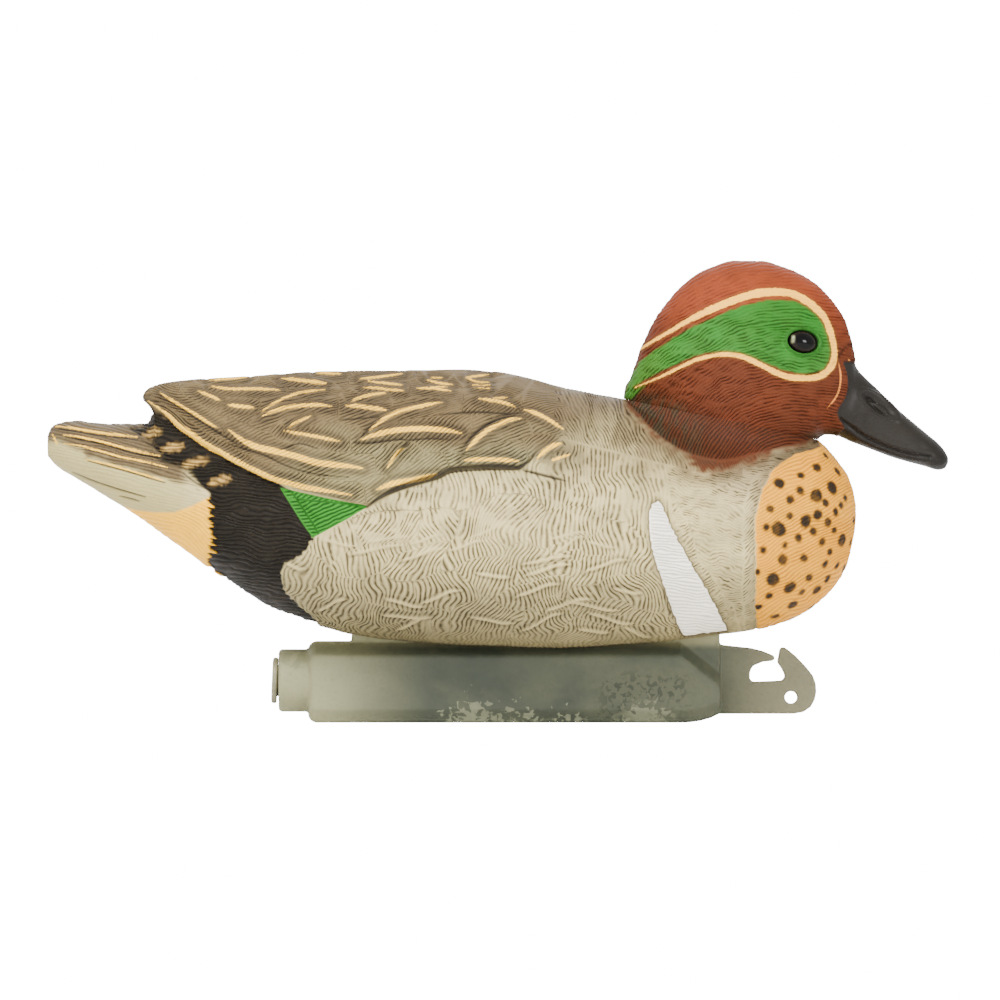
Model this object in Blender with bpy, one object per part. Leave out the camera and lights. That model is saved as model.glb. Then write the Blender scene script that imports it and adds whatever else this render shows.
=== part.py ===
"""Floating duck decoy: drake teal with a turning head and a ballasted keel.

Frame: +X points to the bill, +Z is up, the flat bottom of the keel lies on
Z = 0 and the decoy is mirror-symmetric about Y = 0. Lengths below are in
millimetres and are turned into metres where a mesh is made.
"""

import math

import bmesh
import bpy
import numpy as np
from mathutils import Matrix, Vector

# ---------------------------------------------------------------- dimensions
MM = 0.001
GAP = 0.3

WALL = 2.2
DECK = 3.0

# Body outline: back from tail to nape, breast below the throat, belly.
BACK = [(-155.0, 99.0), (-154.0, 101.2), (-151.6, 103.1), (-144.7, 104.2), (-134.0, 103.4),
        (-124.0, 103.4), (-121.4, 105.0), (-119.6, 111.5), (-117.4, 116.2), (-113.0, 117.7),
        (-92.0, 119.0), (-66.0, 120.7), (-27.0, 121.5), (-8.0, 121.4), (8.0, 119.5),
        (20.0, 116.3), (32.0, 113.8), (43.1, 111.4)]
BREAST = [(110.0, 97.4), (113.5, 93.6), (117.6, 88.7), (120.6, 83.9), (122.2, 79.0), (122.8, 74.8)]
BELLY = [(-155.0, 91.5), (-153.0, 89.0), (-144.7, 83.8), (-127.5, 73.2), (-109.6, 60.6),
         (-88.6, 45.1), (-76.9, 38.2), (-59.7, 32.6), (-50.0, 30.2), (-20.0, 27.0),
         (21.0, 25.6), (50.0, 27.2), (77.0, 30.3), (90.0, 32.4), (98.0, 34.6),
         (108.3, 40.0), (115.5, 47.2), (120.0, 55.2), (122.2, 64.5), (122.8, 70.0)]
HALF_WIDTH = [(-155.0, 8.0), (-153.0, 12.5), (-147.0, 18.0), (-138.0, 21.5), (-124.0, 25.0),
              (-112.0, 30.0), (-98.0, 37.0), (-82.0, 44.0), (-60.0, 51.0), (-30.0, 56.5),
              (5.0, 59.0), (35.0, 58.0), (60.0, 53.5), (80.0, 47.0), (96.0, 39.0),
              (107.0, 31.0), (115.0, 22.5), (119.5, 15.0), (122.0, 8.0), (122.8, 3.5)]
WIDEST_Z = [(-155.0, 95.5), (-138.0, 94.0), (-120.0, 87.0), (-95.0, 78.0), (-50.0, 70.0),
            (10.0, 66.0), (60.0, 64.0), (100.0, 66.0), (122.8, 72.0)]
SHOULDER = [(43.1, 111.4), (52.0, 106.2), (62.0, 101.6), (75.0, 97.6), (88.0, 95.8),
            (98.0, 95.6), (105.0, 96.3), (110.0, 97.4)]
TAIL_END = -155.0
BREAST_END = 122.8

# Neck joint: a flat seam that tips down toward the throat.
NAPE = (43.1, 111.4)
THROAT = (110.0, 97.4)
NECK_HALF_WIDTH = 22.0
NECK_FLARE = 0.45
NECK_FADE = 0.025
NECK_BLEND = 5.0
NECK_HOLE_R = 13.3
SPIGOT_R = 12.9
SPIGOT_BORE_R = 10.2
SPIGOT_LENGTH = 9.0
SNAP_LIP_R = 14.2

# Head and bill outline.
CROWN = [(43.2, 112.6), (43.8, 115.5), (45.6, 118.6), (46.8, 122.5), (48.6, 127.6), (50.8, 133.1),
         (55.3, 141.3), (63.9, 150.6), (72.8, 156.1), (81.4, 158.5), (90.4, 158.5), (99.0, 156.1),
         (107.9, 151.8), (114.5, 146.0), (119.4, 138.6), (122.0, 130.5), (123.4, 123.4),
         (126.0, 119.2), (130.0, 115.3), (137.5, 107.9), (144.8, 101.7), (150.4, 96.9),
         (153.4, 93.6), (155.0, 90.9)]
CHIN = [(110.0, 97.4), (112.1, 98.9), (114.1, 99.0), (118.6, 97.4), (126.2, 94.5),
        (136.2, 90.7), (146.8, 87.8), (151.3, 86.6), (153.8, 87.4), (155.0, 89.4)]
HEAD_HALF_WIDTH = [(43.2, 2.5), (44.5, 7.5), (48.0, 13.0), (54.0, 18.0), (63.0, 21.6), (76.0, 23.5),
                   (88.0, 23.3), (99.0, 21.0), (107.0, 17.9), (114.0, 13.8), (119.0, 10.4),
                   (123.0, 8.2), (128.0, 7.4), (136.0, 7.4), (144.0, 7.7), (149.0, 6.9),
                   (152.5, 4.8), (154.4, 2.6), (155.0, 1.3)]
HEAD_WIDEST_Z = [(43.2, 112.0), (50.0, 117.0), (62.0, 122.0), (80.0, 124.5), (102.0, 125.0),
                 (113.0, 121.0), (119.0, 114.0), (124.0, 106.5), (130.0, 102.0), (142.0, 95.5),
                 (151.0, 91.0), (155.0, 90.1)]
NAPE_END = 43.2
BILL_END = 155.0

EYE_X = 104.7
EYE_Z = 131.0
EYE_HALF_LENGTH = 5.0
EYE_HALF_HEIGHT = 3.9
EYE_HALF_DEPTH = 2.7
EYE_SINK = 0.7
EYE_TILT = math.radians(-8.0)

# Keel: hollow chamber, web, rear filling neck and front line tab.
KEEL_REAR = -65.4
KEEL_FRONT = 76.3
KEEL_TOP = 28.1
KEEL_SHOULDER = 23.4
KEEL_HALF_WIDTH = 12.0
KEEL_BOTTOM_HALF = 10.2
WEB_HALF_WIDTH = 4.2
WEB_REAR = -50.5
KEEL_WALL = 2.4
NECK_CENTRE_Z = 14.5
FILL_NECK_R = 10.8
FILL_NECK_REAR = -75.6
FILL_BORE_R = 5.8
PLUG_R = 7.9
PLUG_STEM_R = 5.4
PLUG_STEM_LENGTH = 8.5
TAB_HALF_THICK = 1.75
LINE_HOLE = (100.7, 8.7)
LINE_HOLE_R = 2.1
SCREW_X = (-44.0, 66.0)
WELL_R = 4.3
WELL_TOP = 17.0
WELL_TUBE_R = 6.4
CAVITY_FRONT = 57.0
SCREW_HEAD_R = 3.7
SCREW_HEAD_H = 2.6
SHANK_R = 1.7
SHANK_TIP_Z = 39.0
SHANK_CLEAR_R = 2.1
BOSS_R = 5.2
BOSS_TOP = 43.0
BALLAST_TOP = 17.5


# ------------------------------------------------------------------- helpers
def smooth(points):
    """A shape-keeping cubic through the points, as a function of x."""
    px = np.array([p[0] for p in points])
    pz = np.array([p[1] for p in points])
    h = np.diff(px)
    d = np.diff(pz) / h
    m = np.zeros(len(px))
    m[0] = d[0]
    m[-1] = d[-1]
    for i in range(1, len(px) - 1):
        if d[i - 1] * d[i] > 0:
            w1 = 2 * h[i] + h[i - 1]
            w2 = h[i] + 2 * h[i - 1]
            m[i] = (w1 + w2) / (w1 / d[i - 1] + w2 / d[i])

    def value(x):
        x = min(max(x, px[0]), px[-1])
        i = min(int(np.searchsorted(px, x, side="right")) - 1, len(h) - 1)
        t = (x - px[i]) / h[i]
        a = (1 + 2 * t) * (1 - t) ** 2 * pz[i]
        b = t * (1 - t) ** 2 * h[i] * m[i]
        c = t * t * (3 - 2 * t) * pz[i + 1]
        e = t * t * (t - 1) * h[i] * m[i + 1]
        return float(a + b + c + e)

    return value


back_z = smooth(BACK)
breast_z = smooth(BREAST)
belly_z = smooth(BELLY)
half_width = smooth(HALF_WIDTH)
widest_z = smooth(WIDEST_Z)
shoulder_z = smooth(SHOULDER)
crown_z = smooth(CROWN)
chin_z = smooth(CHIN)
head_half_width = smooth(HEAD_HALF_WIDTH)
head_widest_z = smooth(HEAD_WIDEST_Z)

SEAM_CENTRE = ((NAPE[0] + THROAT[0]) / 2, (NAPE[1] + THROAT[1]) / 2)
SEAM_SLOPE = (THROAT[1] - NAPE[1]) / (THROAT[0] - NAPE[0])
SEAM_NORMAL = Vector((-SEAM_SLOPE, 0.0, 1.0)).normalized()


def seam_z(x):
    return NAPE[1] + SEAM_SLOPE * (x - NAPE[0])


def neck_half_width(x):
    u = (x - SEAM_CENTRE[0]) / ((THROAT[0] - NAPE[0]) / 2)
    return NECK_HALF_WIDTH * math.sqrt(max(0.0, 1 - u * u))


def in_neck(x):
    return NAPE[0] < x < THROAT[0]


def section(z, low, wide, high, power_low, power_high):
    """Fraction of the full half width at height z."""
    if z >= wide:
        s = min(1.0, (z - wide) / (high - wide))
        return math.sqrt(max(0.0, 1 - s ** power_high))
    s = min(1.0, (wide - z) / (wide - low))
    return math.sqrt(max(0.0, 1 - s ** power_low))


def body_top(x):
    if x <= NAPE[0]:
        return back_z(x)
    if x < THROAT[0]:
        return seam_z(x)
    return breast_z(x)


def body_half(x, z):
    """Half width of the body at a point of its side view."""
    high = shoulder_z(x) if in_neck(x) else body_top(x)
    flesh = half_width(x) * section(z, belly_z(x), widest_z(x), high, 2.5, 2.2)
    if not in_neck(x):
        return flesh
    depth = seam_z(x) - z
    neck = neck_half_width(x) + NECK_FLARE * depth - NECK_FADE * depth * depth
    k = NECK_BLEND * min(1.0, depth / 6.0)
    if k < 0.01:
        return max(flesh, neck)
    return 0.5 * (flesh + neck + math.sqrt((flesh - neck) ** 2 + k * k))


def head_half(x, z):
    """Half width of the head or bill at a point of its side view."""
    low = seam_z(x) if in_neck(x) else chin_z(x)
    wide = head_widest_z(x)
    full = head_half_width(x)
    if z >= wide:
        return full * section(z, low, wide, crown_z(x), 2.0, 2.1)
    base = min(full, neck_half_width(x)) if in_neck(x) else 0.0
    return base + (full - base) * section(z, low, wide, crown_z(x), 2.2, 2.1)


def spaced(count):
    """Section heights from 0 to 1, closer together at both ends."""
    return [(1 - math.cos(math.pi * (i + 0.5) / count)) / 2 for i in range(count)]


def both_sides(x, side):
    """A closed ring from one side's (half width, z) points, low to high."""
    ring = [(x, -w, z) for w, z in side]
    ring += [(x, w, z) for w, z in reversed(side)]
    return ring


def body_ring(x, count, grow):
    """Body section at x, grown outward (or shrunk, if negative) by grow."""
    low = belly_z(x)
    high = body_top(x)
    f = spaced(count)
    side = []
    for v in f:
        w = body_half(x, low + (high - low) * v)
        z_low = low - grow
        z_high = high + (min(grow, -DECK) if in_neck(x) and grow < 0 else grow)
        z = z_low + (z_high - z_low) * (v / f[-1])
        side.append((max(w + grow, 0.6), z))
    return both_sides(x, side)


def head_ring(x, count, shrink):
    low = seam_z(x) + GAP if in_neck(x) else chin_z(x)
    high = crown_z(x)
    f = spaced(count)
    side = []
    for v in f:
        w = head_half(x, low + (high - low) * v)
        z_low = low + shrink
        z_high = high - shrink
        z = z_low + (z_high - z_low) * ((v - f[0]) / (1 - f[0]))
        side.append((max(w - shrink, 0.6), z))
    return both_sides(x, side)


def link(name, bm):
    bmesh.ops.recalc_face_normals(bm, faces=bm.faces)
    mesh = bpy.data.meshes.new(name)
    bm.to_mesh(mesh)
    bm.free()
    obj = bpy.data.objects.new(name, mesh)
    bpy.context.scene.collection.objects.link(obj)
    return obj


def loft(name, rings):
    """A closed solid skinned over rings that have equal point counts."""
    bm = bmesh.new()
    rows = [[bm.verts.new(Vector(p) * MM) for p in ring] for ring in rings]
    n = len(rings[0])
    for a, b in zip(rows, rows[1:]):
        for i in range(n):
            j = (i + 1) % n
            bm.faces.new((a[i], a[j], b[j], b[i]))
    bm.faces.new(rows[0])
    bm.faces.new(list(reversed(rows[-1])))
    return link(name, bm)


def lathe(name, profile, origin, axis, segments):
    """Turn (radius, height) points about an axis through origin."""
    turn = Vector((0, 0, 1)).rotation_difference(Vector(axis)).to_matrix().to_4x4()
    place = Matrix.Translation(Vector(origin) * MM) @ turn
    bm = bmesh.new()
    rows = []
    for r, h in profile:
        if r == 0:
            rows.append([bm.verts.new((0, 0, h * MM))])
            continue
        row = []
        for i in range(segments):
            a = 2 * math.pi * (i + 0.5) / segments
            row.append(bm.verts.new((r * MM * math.cos(a), r * MM * math.sin(a), h * MM)))
        rows.append(row)
    for a, b in zip(rows, rows[1:]):
        for i in range(segments):
            j = (i + 1) % segments
            if len(a) == 1:
                bm.faces.new((a[0], b[j], b[i]))
            elif len(b) == 1:
                bm.faces.new((a[i], a[j], b[0]))
            else:
                bm.faces.new((a[i], a[j], b[j], b[i]))
    if len(rows[0]) > 1:
        bm.faces.new(list(reversed(rows[0])))
    if len(rows[-1]) > 1:
        bm.faces.new(rows[-1])
    bm.transform(place)
    return link(name, bm)


def plate(name, outline, half_thick):
    """A flat plate in the X-Z plane, centred on Y = 0."""
    bm = bmesh.new()
    near = [bm.verts.new((x * MM, -half_thick * MM, z * MM)) for x, z in outline]
    far = [bm.verts.new((x * MM, half_thick * MM, z * MM)) for x, z in outline]
    n = len(outline)
    for i in range(n):
        j = (i + 1) % n
        bm.faces.new((near[i], near[j], far[j], far[i]))
    bm.faces.new(near)
    bm.faces.new(list(reversed(far)))
    return link(name, bm)


def box(name, low, high):
    outline = [(low[0], low[2]), (high[0], low[2]), (high[0], high[2]), (low[0], high[2])]
    obj = plate(name, outline, (high[1] - low[1]) / 2)
    obj.location.y = (high[1] + low[1]) / 2 * MM
    return obj


def combine(obj, other, operation):
    """Boolean with a helper body that is not part of the decoy itself."""
    other.hide_render = True
    other.display_type = "WIRE"
    mod = obj.modifiers.new(operation.lower(), "BOOLEAN")
    mod.operation = operation
    mod.solver = "EXACT"
    mod.object = other


def finish(obj, material, angle):
    obj.data.materials.clear()
    obj.data.materials.append(material)
    obj.data.set_sharp_from_angle(angle=math.radians(angle))
    for face in obj.data.polygons:
        face.use_smooth = True


def principled(name, colour, roughness):
    mat = bpy.data.materials.new(name)
    mat.use_nodes = True
    shader = mat.node_tree.nodes["Principled BSDF"]
    shader.inputs["Base Color"].default_value = (*colour, 1.0)
    shader.inputs["Roughness"].default_value = roughness
    shader.inputs["Metallic"].default_value = 0.0
    return mat


# ----------------------------------------------------------------- materials
def body_paint():
    return principled("body_paint", (0.46, 0.40, 0.30), 0.7)


def head_paint():
    return principled("head_paint", (0.30, 0.075, 0.03), 0.65)


def eye_glass():
    return principled("eye_glass", (0.012, 0.009, 0.007), 0.08)


def keel_plastic():
    return principled("keel_plastic", (0.24, 0.24, 0.17), 0.55)


def plug_plastic():
    return principled("plug_plastic", (0.36, 0.34, 0.25), 0.5)


def sand():
    return principled("sand", (0.42, 0.33, 0.20), 0.95)


def screw_steel():
    mat = principled("screw_steel", (0.55, 0.55, 0.53), 0.35)
    mat.node_tree.nodes["Principled BSDF"].inputs["Metallic"].default_value = 1.0
    return mat


# ----------------------------------------------------------------- sub-parts
def eased(start, end, count):
    """Stations from start to end, closer together at both ends."""
    steps = [(1 - math.cos(math.pi * i / count)) / 2 for i in range(count + 1)]
    return [start + (end - start) * s for s in steps]


def body_stations():
    rump = eased(TAIL_END, -125.0, 9)
    step = [-123.0, -121.6, -120.6, -119.6, -118.4, -116.8]
    back = [-114.0 + 157.0 * i / 21 for i in range(21)]
    seam = eased(NAPE[0] + 0.15, THROAT[0] - 0.15, 15)
    front = eased(THROAT[0], BREAST_END, 9)
    return rump + step + back + seam + front[1:]


def body_cavity():
    xs = [-116.0, -113.0, -106.0, -96.0, -82.0, -64.0, -44.0, -24.0, -4.0, 16.0, 34.0, 41.0]
    xs += [44.5, 50.0, 57.0, 66.0, 76.0, 86.0, 95.0, 102.0, 107.5, 111.5, 115.0, 118.0]
    cavity = loft("body_cavity", [body_ring(x, 12, -WALL) for x in xs])
    for i, x in enumerate(SCREW_X):
        boss = lathe(f"boss_{i}", [(BOSS_R, 0.0), (BOSS_R, BOSS_TOP)], (x, 0, 0), (0, 0, 1), 24)
        combine(cavity, boss, "DIFFERENCE")
    return cavity


def body_shell():
    obj = loft("body_shell", [body_ring(x, 20, 0.0) for x in body_stations()])
    combine(obj, body_cavity(), "DIFFERENCE")
    centre = (SEAM_CENTRE[0], 0, SEAM_CENTRE[1])
    hole = lathe("neck_hole", [(NECK_HOLE_R, -8.0), (NECK_HOLE_R, 4.0)], centre, SEAM_NORMAL, 40)
    combine(obj, hole, "DIFFERENCE")
    for i, x in enumerate(SCREW_X):
        pilot = [(SHANK_CLEAR_R, 0.0), (SHANK_CLEAR_R, BOSS_TOP - 2.5)]
        cutter = lathe(f"pilot_{i}", pilot, (x, 0, 0), (0, 0, 1), 16)
        combine(obj, cutter, "DIFFERENCE")
    finish(obj, body_paint(), 50)
    return obj


def head_stations():
    seam = eased(NAPE_END, 96.0, 13)
    face = [99.5, 103.0, 106.2, 108.6, 109.9, 110.1, 112.0, 114.4, 117.0, 119.5, 121.5]
    bill = [123.0, 124.8, 127.5, 131.5, 136.5, 141.5, 146.0, 149.5, 152.0, 153.7, 154.6, 155.0]
    return seam + face + bill


def eye_frame(side):
    """Centre and axes of an eye; side is -1 for the right one, +1 for the left."""
    step = 0.5
    w = head_half(EYE_X, EYE_Z)
    dx = (head_half(EYE_X + step, EYE_Z) - head_half(EYE_X - step, EYE_Z)) / (2 * step)
    dz = (head_half(EYE_X, EYE_Z + step) - head_half(EYE_X, EYE_Z - step)) / (2 * step)
    normal = Vector((-dx, side, -dz)).normalized()
    along = Vector((math.cos(EYE_TILT), 0, math.sin(EYE_TILT)))
    along = (along - normal * along.dot(normal)).normalized()
    up = normal.cross(along)
    centre = Vector((EYE_X, side * w, EYE_Z)) - normal * EYE_SINK
    frame = Matrix((along, up, normal)).transposed().to_4x4()
    return Matrix.Translation(centre * MM) @ frame


def eyeball(name, side, grow):
    """A flattened ball, with its poles along the eye's own normal."""
    bm = bmesh.new()
    bmesh.ops.create_uvsphere(bm, u_segments=24, v_segments=12, radius=1.0)
    size = (EYE_HALF_LENGTH + grow, EYE_HALF_HEIGHT + grow, EYE_HALF_DEPTH + grow)
    bmesh.ops.scale(bm, vec=[s * MM for s in size], verts=bm.verts)
    bm.transform(eye_frame(side))
    return link(name, bm)


def eye(name, side):
    obj = eyeball(name, side, 0.0)
    finish(obj, eye_glass(), 60)
    return obj


def spigot():
    lip = SPIGOT_LENGTH - 2.6
    wall = [(SPIGOT_R, 2.0), (SPIGOT_R, -DECK - 0.6), (SNAP_LIP_R, -lip + 1.0), (SNAP_LIP_R, -lip)]
    wall += [(SPIGOT_R, -SPIGOT_LENGTH)]
    centre = (SEAM_CENTRE[0], 0, SEAM_CENTRE[1])
    return lathe("spigot", wall, centre, SEAM_NORMAL, 40)


def head_cavity():
    xs = [51.0, 53.5, 58.0, 64.0, 71.0, 79.0, 87.0, 93.0, 97.0]
    return loft("head_cavity", [head_ring(x, 10, WALL + 0.8) for x in xs])


def head_shell():
    obj = loft("head_shell", [head_ring(x, 16, 0.0) for x in head_stations()])
    combine(obj, head_cavity(), "DIFFERENCE")
    combine(obj, spigot(), "UNION")
    centre = (SEAM_CENTRE[0], 0, SEAM_CENTRE[1])
    bore = [(SPIGOT_BORE_R, -SPIGOT_LENGTH - 2.0), (SPIGOT_BORE_R, 8.0)]
    combine(obj, lathe("spigot_bore", bore, centre, SEAM_NORMAL, 40), "DIFFERENCE")
    combine(obj, eyeball("socket_right", -1, GAP), "DIFFERENCE")
    combine(obj, eyeball("socket_left", 1, GAP), "DIFFERENCE")
    finish(obj, head_paint(), 50)
    return obj


def keel_ring(x, inset):
    """Keel chamber section; its nose narrows and its shoulders slope away."""
    nose = max(0.0, (x - 62.7) / (KEEL_FRONT - 62.7))
    half = KEEL_HALF_WIDTH - 2.5 * nose * nose - inset
    foot = KEEL_BOTTOM_HALF - 2.5 * nose * nose - inset
    floor = inset + 2.9 * nose ** 2.2
    shoulder = KEEL_SHOULDER - 10.5 * nose - inset
    web = WEB_HALF_WIDTH
    crest = shoulder + 4.2
    top = max(KEEL_TOP - inset, crest + 0.4)
    side = [(foot - 1.6, floor), (foot - 0.4, floor + 0.5), (foot, floor + 1.6)]
    side += [(half, floor + 4.5), (half, shoulder - 1.0), (half - 0.5, shoulder)]
    side += [(web, crest), (web, top)]
    return both_sides(x, side)


def keel_web():
    return box("web", (WEB_REAR, -WEB_HALF_WIDTH + 0.01, 20.0),
               (KEEL_FRONT - 0.01, WEB_HALF_WIDTH - 0.01, 40.0))


def keel_tab():
    """Line tab with its hooked slot, ahead of the chamber."""
    lower_corner = [(101.5, 3.0), (105.0, 3.6), (107.6, 5.4), (109.0, 8.0)]
    nose = [(109.5, 10.6), (109.3, 13.4), (108.3, 16.2), (105.6, 19.6), (102.4, 22.9)]
    hook = [(99.9, 25.0), (98.6, 25.9), (97.4, 26.0), (96.7, 25.2), (96.3, 22.7), (95.9, 20.8)]
    slot = [(97.4, 18.6), (98.4, 16.6), (98.4, 15.4), (97.4, 14.5), (87.6, 14.1), (86.6, 15.0)]
    slot += [(86.6, 17.4), (87.6, 19.4), (91.0, 20.9), (94.4, 21.2)]
    arm = [(95.3, 22.0), (94.8, 23.1), (91.0, 24.7), (87.0, 25.7), (77.0, 26.8), (70.0, 26.8)]
    outline = [(70.0, 3.0)] + lower_corner + nose + hook + slot + arm
    return plate("tab", outline, TAB_HALF_THICK)


def keel_cavity():
    low, high = KEEL_REAR + KEEL_WALL, CAVITY_FRONT
    half = KEEL_HALF_WIDTH - KEEL_WALL
    foot = half - 2.2
    floor = KEEL_WALL
    roof = KEEL_SHOULDER - 1.6
    side = [(foot, floor), (half, floor + 3.5), (half, roof - 2.0), (half - 3.0, roof)]
    cavity = loft("keel_cavity", [both_sides(x, side) for x in (low, high)])
    tube = lathe("well_tube", [(WELL_TUBE_R, -1.0), (WELL_TUBE_R, 40.0)], (SCREW_X[0], 0, 0),
                 (0, 0, 1), 24)
    combine(cavity, tube, "DIFFERENCE")
    return cavity


def keel_shell():
    ends = [(KEEL_REAR, 2.4), (KEEL_REAR + 0.5, 1.3), (KEEL_REAR + 1.3, 0.5), (KEEL_REAR + 2.6, 0.0)]
    ends += [(62.7, 0.0), (65.0, 0.0), (67.5, 0.0), (70.0, 0.0), (72.5, 0.0), (74.8, 0.0)]
    ends += [(KEEL_FRONT, 0.4)]
    obj = loft("keel_shell", [keel_ring(x, inset) for x, inset in ends])
    combine(obj, keel_web(), "UNION")
    combine(obj, keel_tab(), "UNION")
    r = FILL_NECK_R
    reach = KEEL_REAR - FILL_NECK_REAR + 3.0
    neck = [(r, 0.0), (r, reach - 1.6), (r - 0.5, reach - 0.5), (r - 1.7, reach)]
    base = (KEEL_REAR + 3.0, 0, NECK_CENTRE_Z)
    combine(obj, lathe("fill_neck", neck, base, (-1, 0, 0), 40), "UNION")
    combine(obj, keel_cavity(), "DIFFERENCE")
    bore = [(FILL_BORE_R, 0.0), (FILL_BORE_R, reach + 6.0)]
    combine(obj, lathe("fill_bore", bore, base, (-1, 0, 0), 32), "DIFFERENCE")
    for i, x in enumerate(SCREW_X):
        well = [(WELL_R, -1.0), (WELL_R, WELL_TOP)]
        combine(obj, lathe(f"well_{i}", well, (x, 0, 0), (0, 0, 1), 24), "DIFFERENCE")
        clear = [(SHANK_CLEAR_R, WELL_TOP - 1.0), (SHANK_CLEAR_R, 44.0)]
        combine(obj, lathe(f"clear_{i}", clear, (x, 0, 0), (0, 0, 1), 16), "DIFFERENCE")
    hole = [(LINE_HOLE_R, -4.0), (LINE_HOLE_R, 4.0)]
    place = (LINE_HOLE[0], 0, LINE_HOLE[1])
    combine(obj, lathe("line_hole", hole, place, (0, 1, 0), 24), "DIFFERENCE")
    belly = loft("belly_clear", [body_ring(x, 20, GAP) for x in body_stations()])
    combine(obj, belly, "DIFFERENCE")
    finish(obj, keel_plastic(), 35)
    return obj


def keel_ballast():
    """Sand that fills the chamber ahead of the rear screw tube."""
    half = KEEL_HALF_WIDTH - KEEL_WALL - GAP
    floor = KEEL_WALL + GAP
    side = [(half - 2.2, floor), (half, floor + 3.5), (half, BALLAST_TOP - 0.5)]
    side += [(half - 0.8, BALLAST_TOP)]
    rear = SCREW_X[0] + WELL_TUBE_R + 1.2
    front = CAVITY_FRONT - GAP
    obj = loft("keel_ballast", [both_sides(x, side) for x in (rear, front)])
    finish(obj, sand(), 30)
    return obj


def keel_plug():
    """Stepped plug; its disc seats on the filling neck's rear face."""
    r = PLUG_R
    s = PLUG_STEM_R
    stem = PLUG_STEM_LENGTH
    profile = [(s - 0.6, -stem), (s, -stem + 0.8), (s, 0.0), (r - 0.3, 0.0), (r, 0.3), (r, 1.5)]
    profile += [(r - 0.3, 2.2), (r - 1.1, 2.5)]
    origin = (FILL_NECK_REAR - GAP, 0, NECK_CENTRE_Z)
    obj = lathe("keel_plug", profile, origin, (-1, 0, 0), 36)
    finish(obj, plug_plastic(), 35)
    return obj


def keel_screw(name, x):
    seat = WELL_TOP - GAP
    r = SCREW_HEAD_R
    low = seat - SCREW_HEAD_H
    profile = [(r - 1.3, low), (r - 0.4, low + 0.5), (r, low + 1.4), (r, seat), (SHANK_R, seat)]
    profile += [(SHANK_R, SHANK_TIP_Z - 4.0), (0.4, SHANK_TIP_Z)]
    obj = lathe(name, profile, (x, 0, 0), (0, 0, 1), 24)
    arm = 2.0
    slot = 0.45
    for tag, sx, sy in (("a", arm, slot), ("b", slot, arm)):
        low_corner = (x - sx, -sy, low - 1.0)
        high_corner = (x + sx, sy, low + 1.3)
        combine(obj, box(f"{name}_cross_{tag}", low_corner, high_corner), "DIFFERENCE")
    finish(obj, screw_steel(), 35)
    return obj


def build():
    for obj in list(bpy.data.objects):
        bpy.data.objects.remove(obj, do_unlink=True)
    body_shell()
    head_shell()
    eye("eye_right", -1)
    eye("eye_left", 1)
    keel_shell()
    keel_ballast()
    keel_plug()
    keel_screw("keel_screw_rear", SCREW_X[0])
    keel_screw("keel_screw_front", SCREW_X[1])


build()
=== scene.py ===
"""Looks of the floating duck decoy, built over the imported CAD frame.

Lengths are in millimetres until a mesh is made. X runs from tail to bill, Z is up and the
right side of the bird is the one with Y below zero; the left side mirrors it. The last number
of a noise call is its seed.
"""

import math

import bmesh
import bpy
import numpy as np
from mathutils import Matrix, Vector


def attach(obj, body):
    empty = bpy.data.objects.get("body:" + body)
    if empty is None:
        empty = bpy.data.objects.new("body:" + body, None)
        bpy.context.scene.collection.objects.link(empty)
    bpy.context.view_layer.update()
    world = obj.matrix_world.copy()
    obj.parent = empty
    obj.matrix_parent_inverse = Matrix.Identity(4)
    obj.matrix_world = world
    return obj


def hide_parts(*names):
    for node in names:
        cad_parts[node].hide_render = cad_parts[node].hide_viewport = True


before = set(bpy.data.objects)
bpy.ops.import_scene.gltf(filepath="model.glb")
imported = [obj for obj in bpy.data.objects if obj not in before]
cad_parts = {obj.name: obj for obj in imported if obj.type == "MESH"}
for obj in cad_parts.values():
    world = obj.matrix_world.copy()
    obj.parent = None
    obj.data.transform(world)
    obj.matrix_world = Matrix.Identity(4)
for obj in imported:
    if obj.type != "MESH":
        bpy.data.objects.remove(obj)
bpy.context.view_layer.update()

MM = 0.001

# Ends of body and head, the step down from back to tail and the height of its top.
TAIL_X, BREAST_X = -155.0, 122.8
CROWN_X, BILL_X = 43.2, 155.0
TAIL_NOTCH = (-122.0, -118.0)
TAIL_TOP_Z = 104.0

# ------------------------------------------------------------------ outlines
BACK = [
    (-155.0, 99.0), (-154.0, 101.4), (-151.6, 103.1), (-144.7, 104.2), (-134.0, 103.2),
    (-124.0, 103.2), (-120.6, 104.6), (-119.2, 107.3), (-118.8, 113.0), (-117.0, 116.2),
    (-112.0, 117.6), (-92.0, 119.0), (-66.0, 120.7), (-27.0, 121.6), (-8.0, 121.5), (0.0, 120.7),
    (8.0, 119.3), (20.0, 116.0), (32.0, 113.6), (43.1, 111.4),
]
BREAST = [
    (110.0, 97.4), (113.5, 93.6), (117.6, 88.7), (120.6, 83.9), (122.2, 79.0), (122.8, 74.8),
]
BELLY = [
    (-155.0, 91.5), (-153.0, 89.0), (-144.7, 83.8), (-127.5, 73.2), (-109.6, 60.6),
    (-88.6, 45.1), (-76.9, 38.2), (-59.7, 32.6), (-50.0, 30.2), (-20.0, 27.0), (21.0, 25.6),
    (50.0, 27.2), (77.0, 30.3), (90.0, 32.4), (98.0, 34.6), (108.3, 40.0), (115.5, 47.2),
    (120.0, 55.2), (122.2, 64.5), (122.8, 70.0),
]
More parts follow.
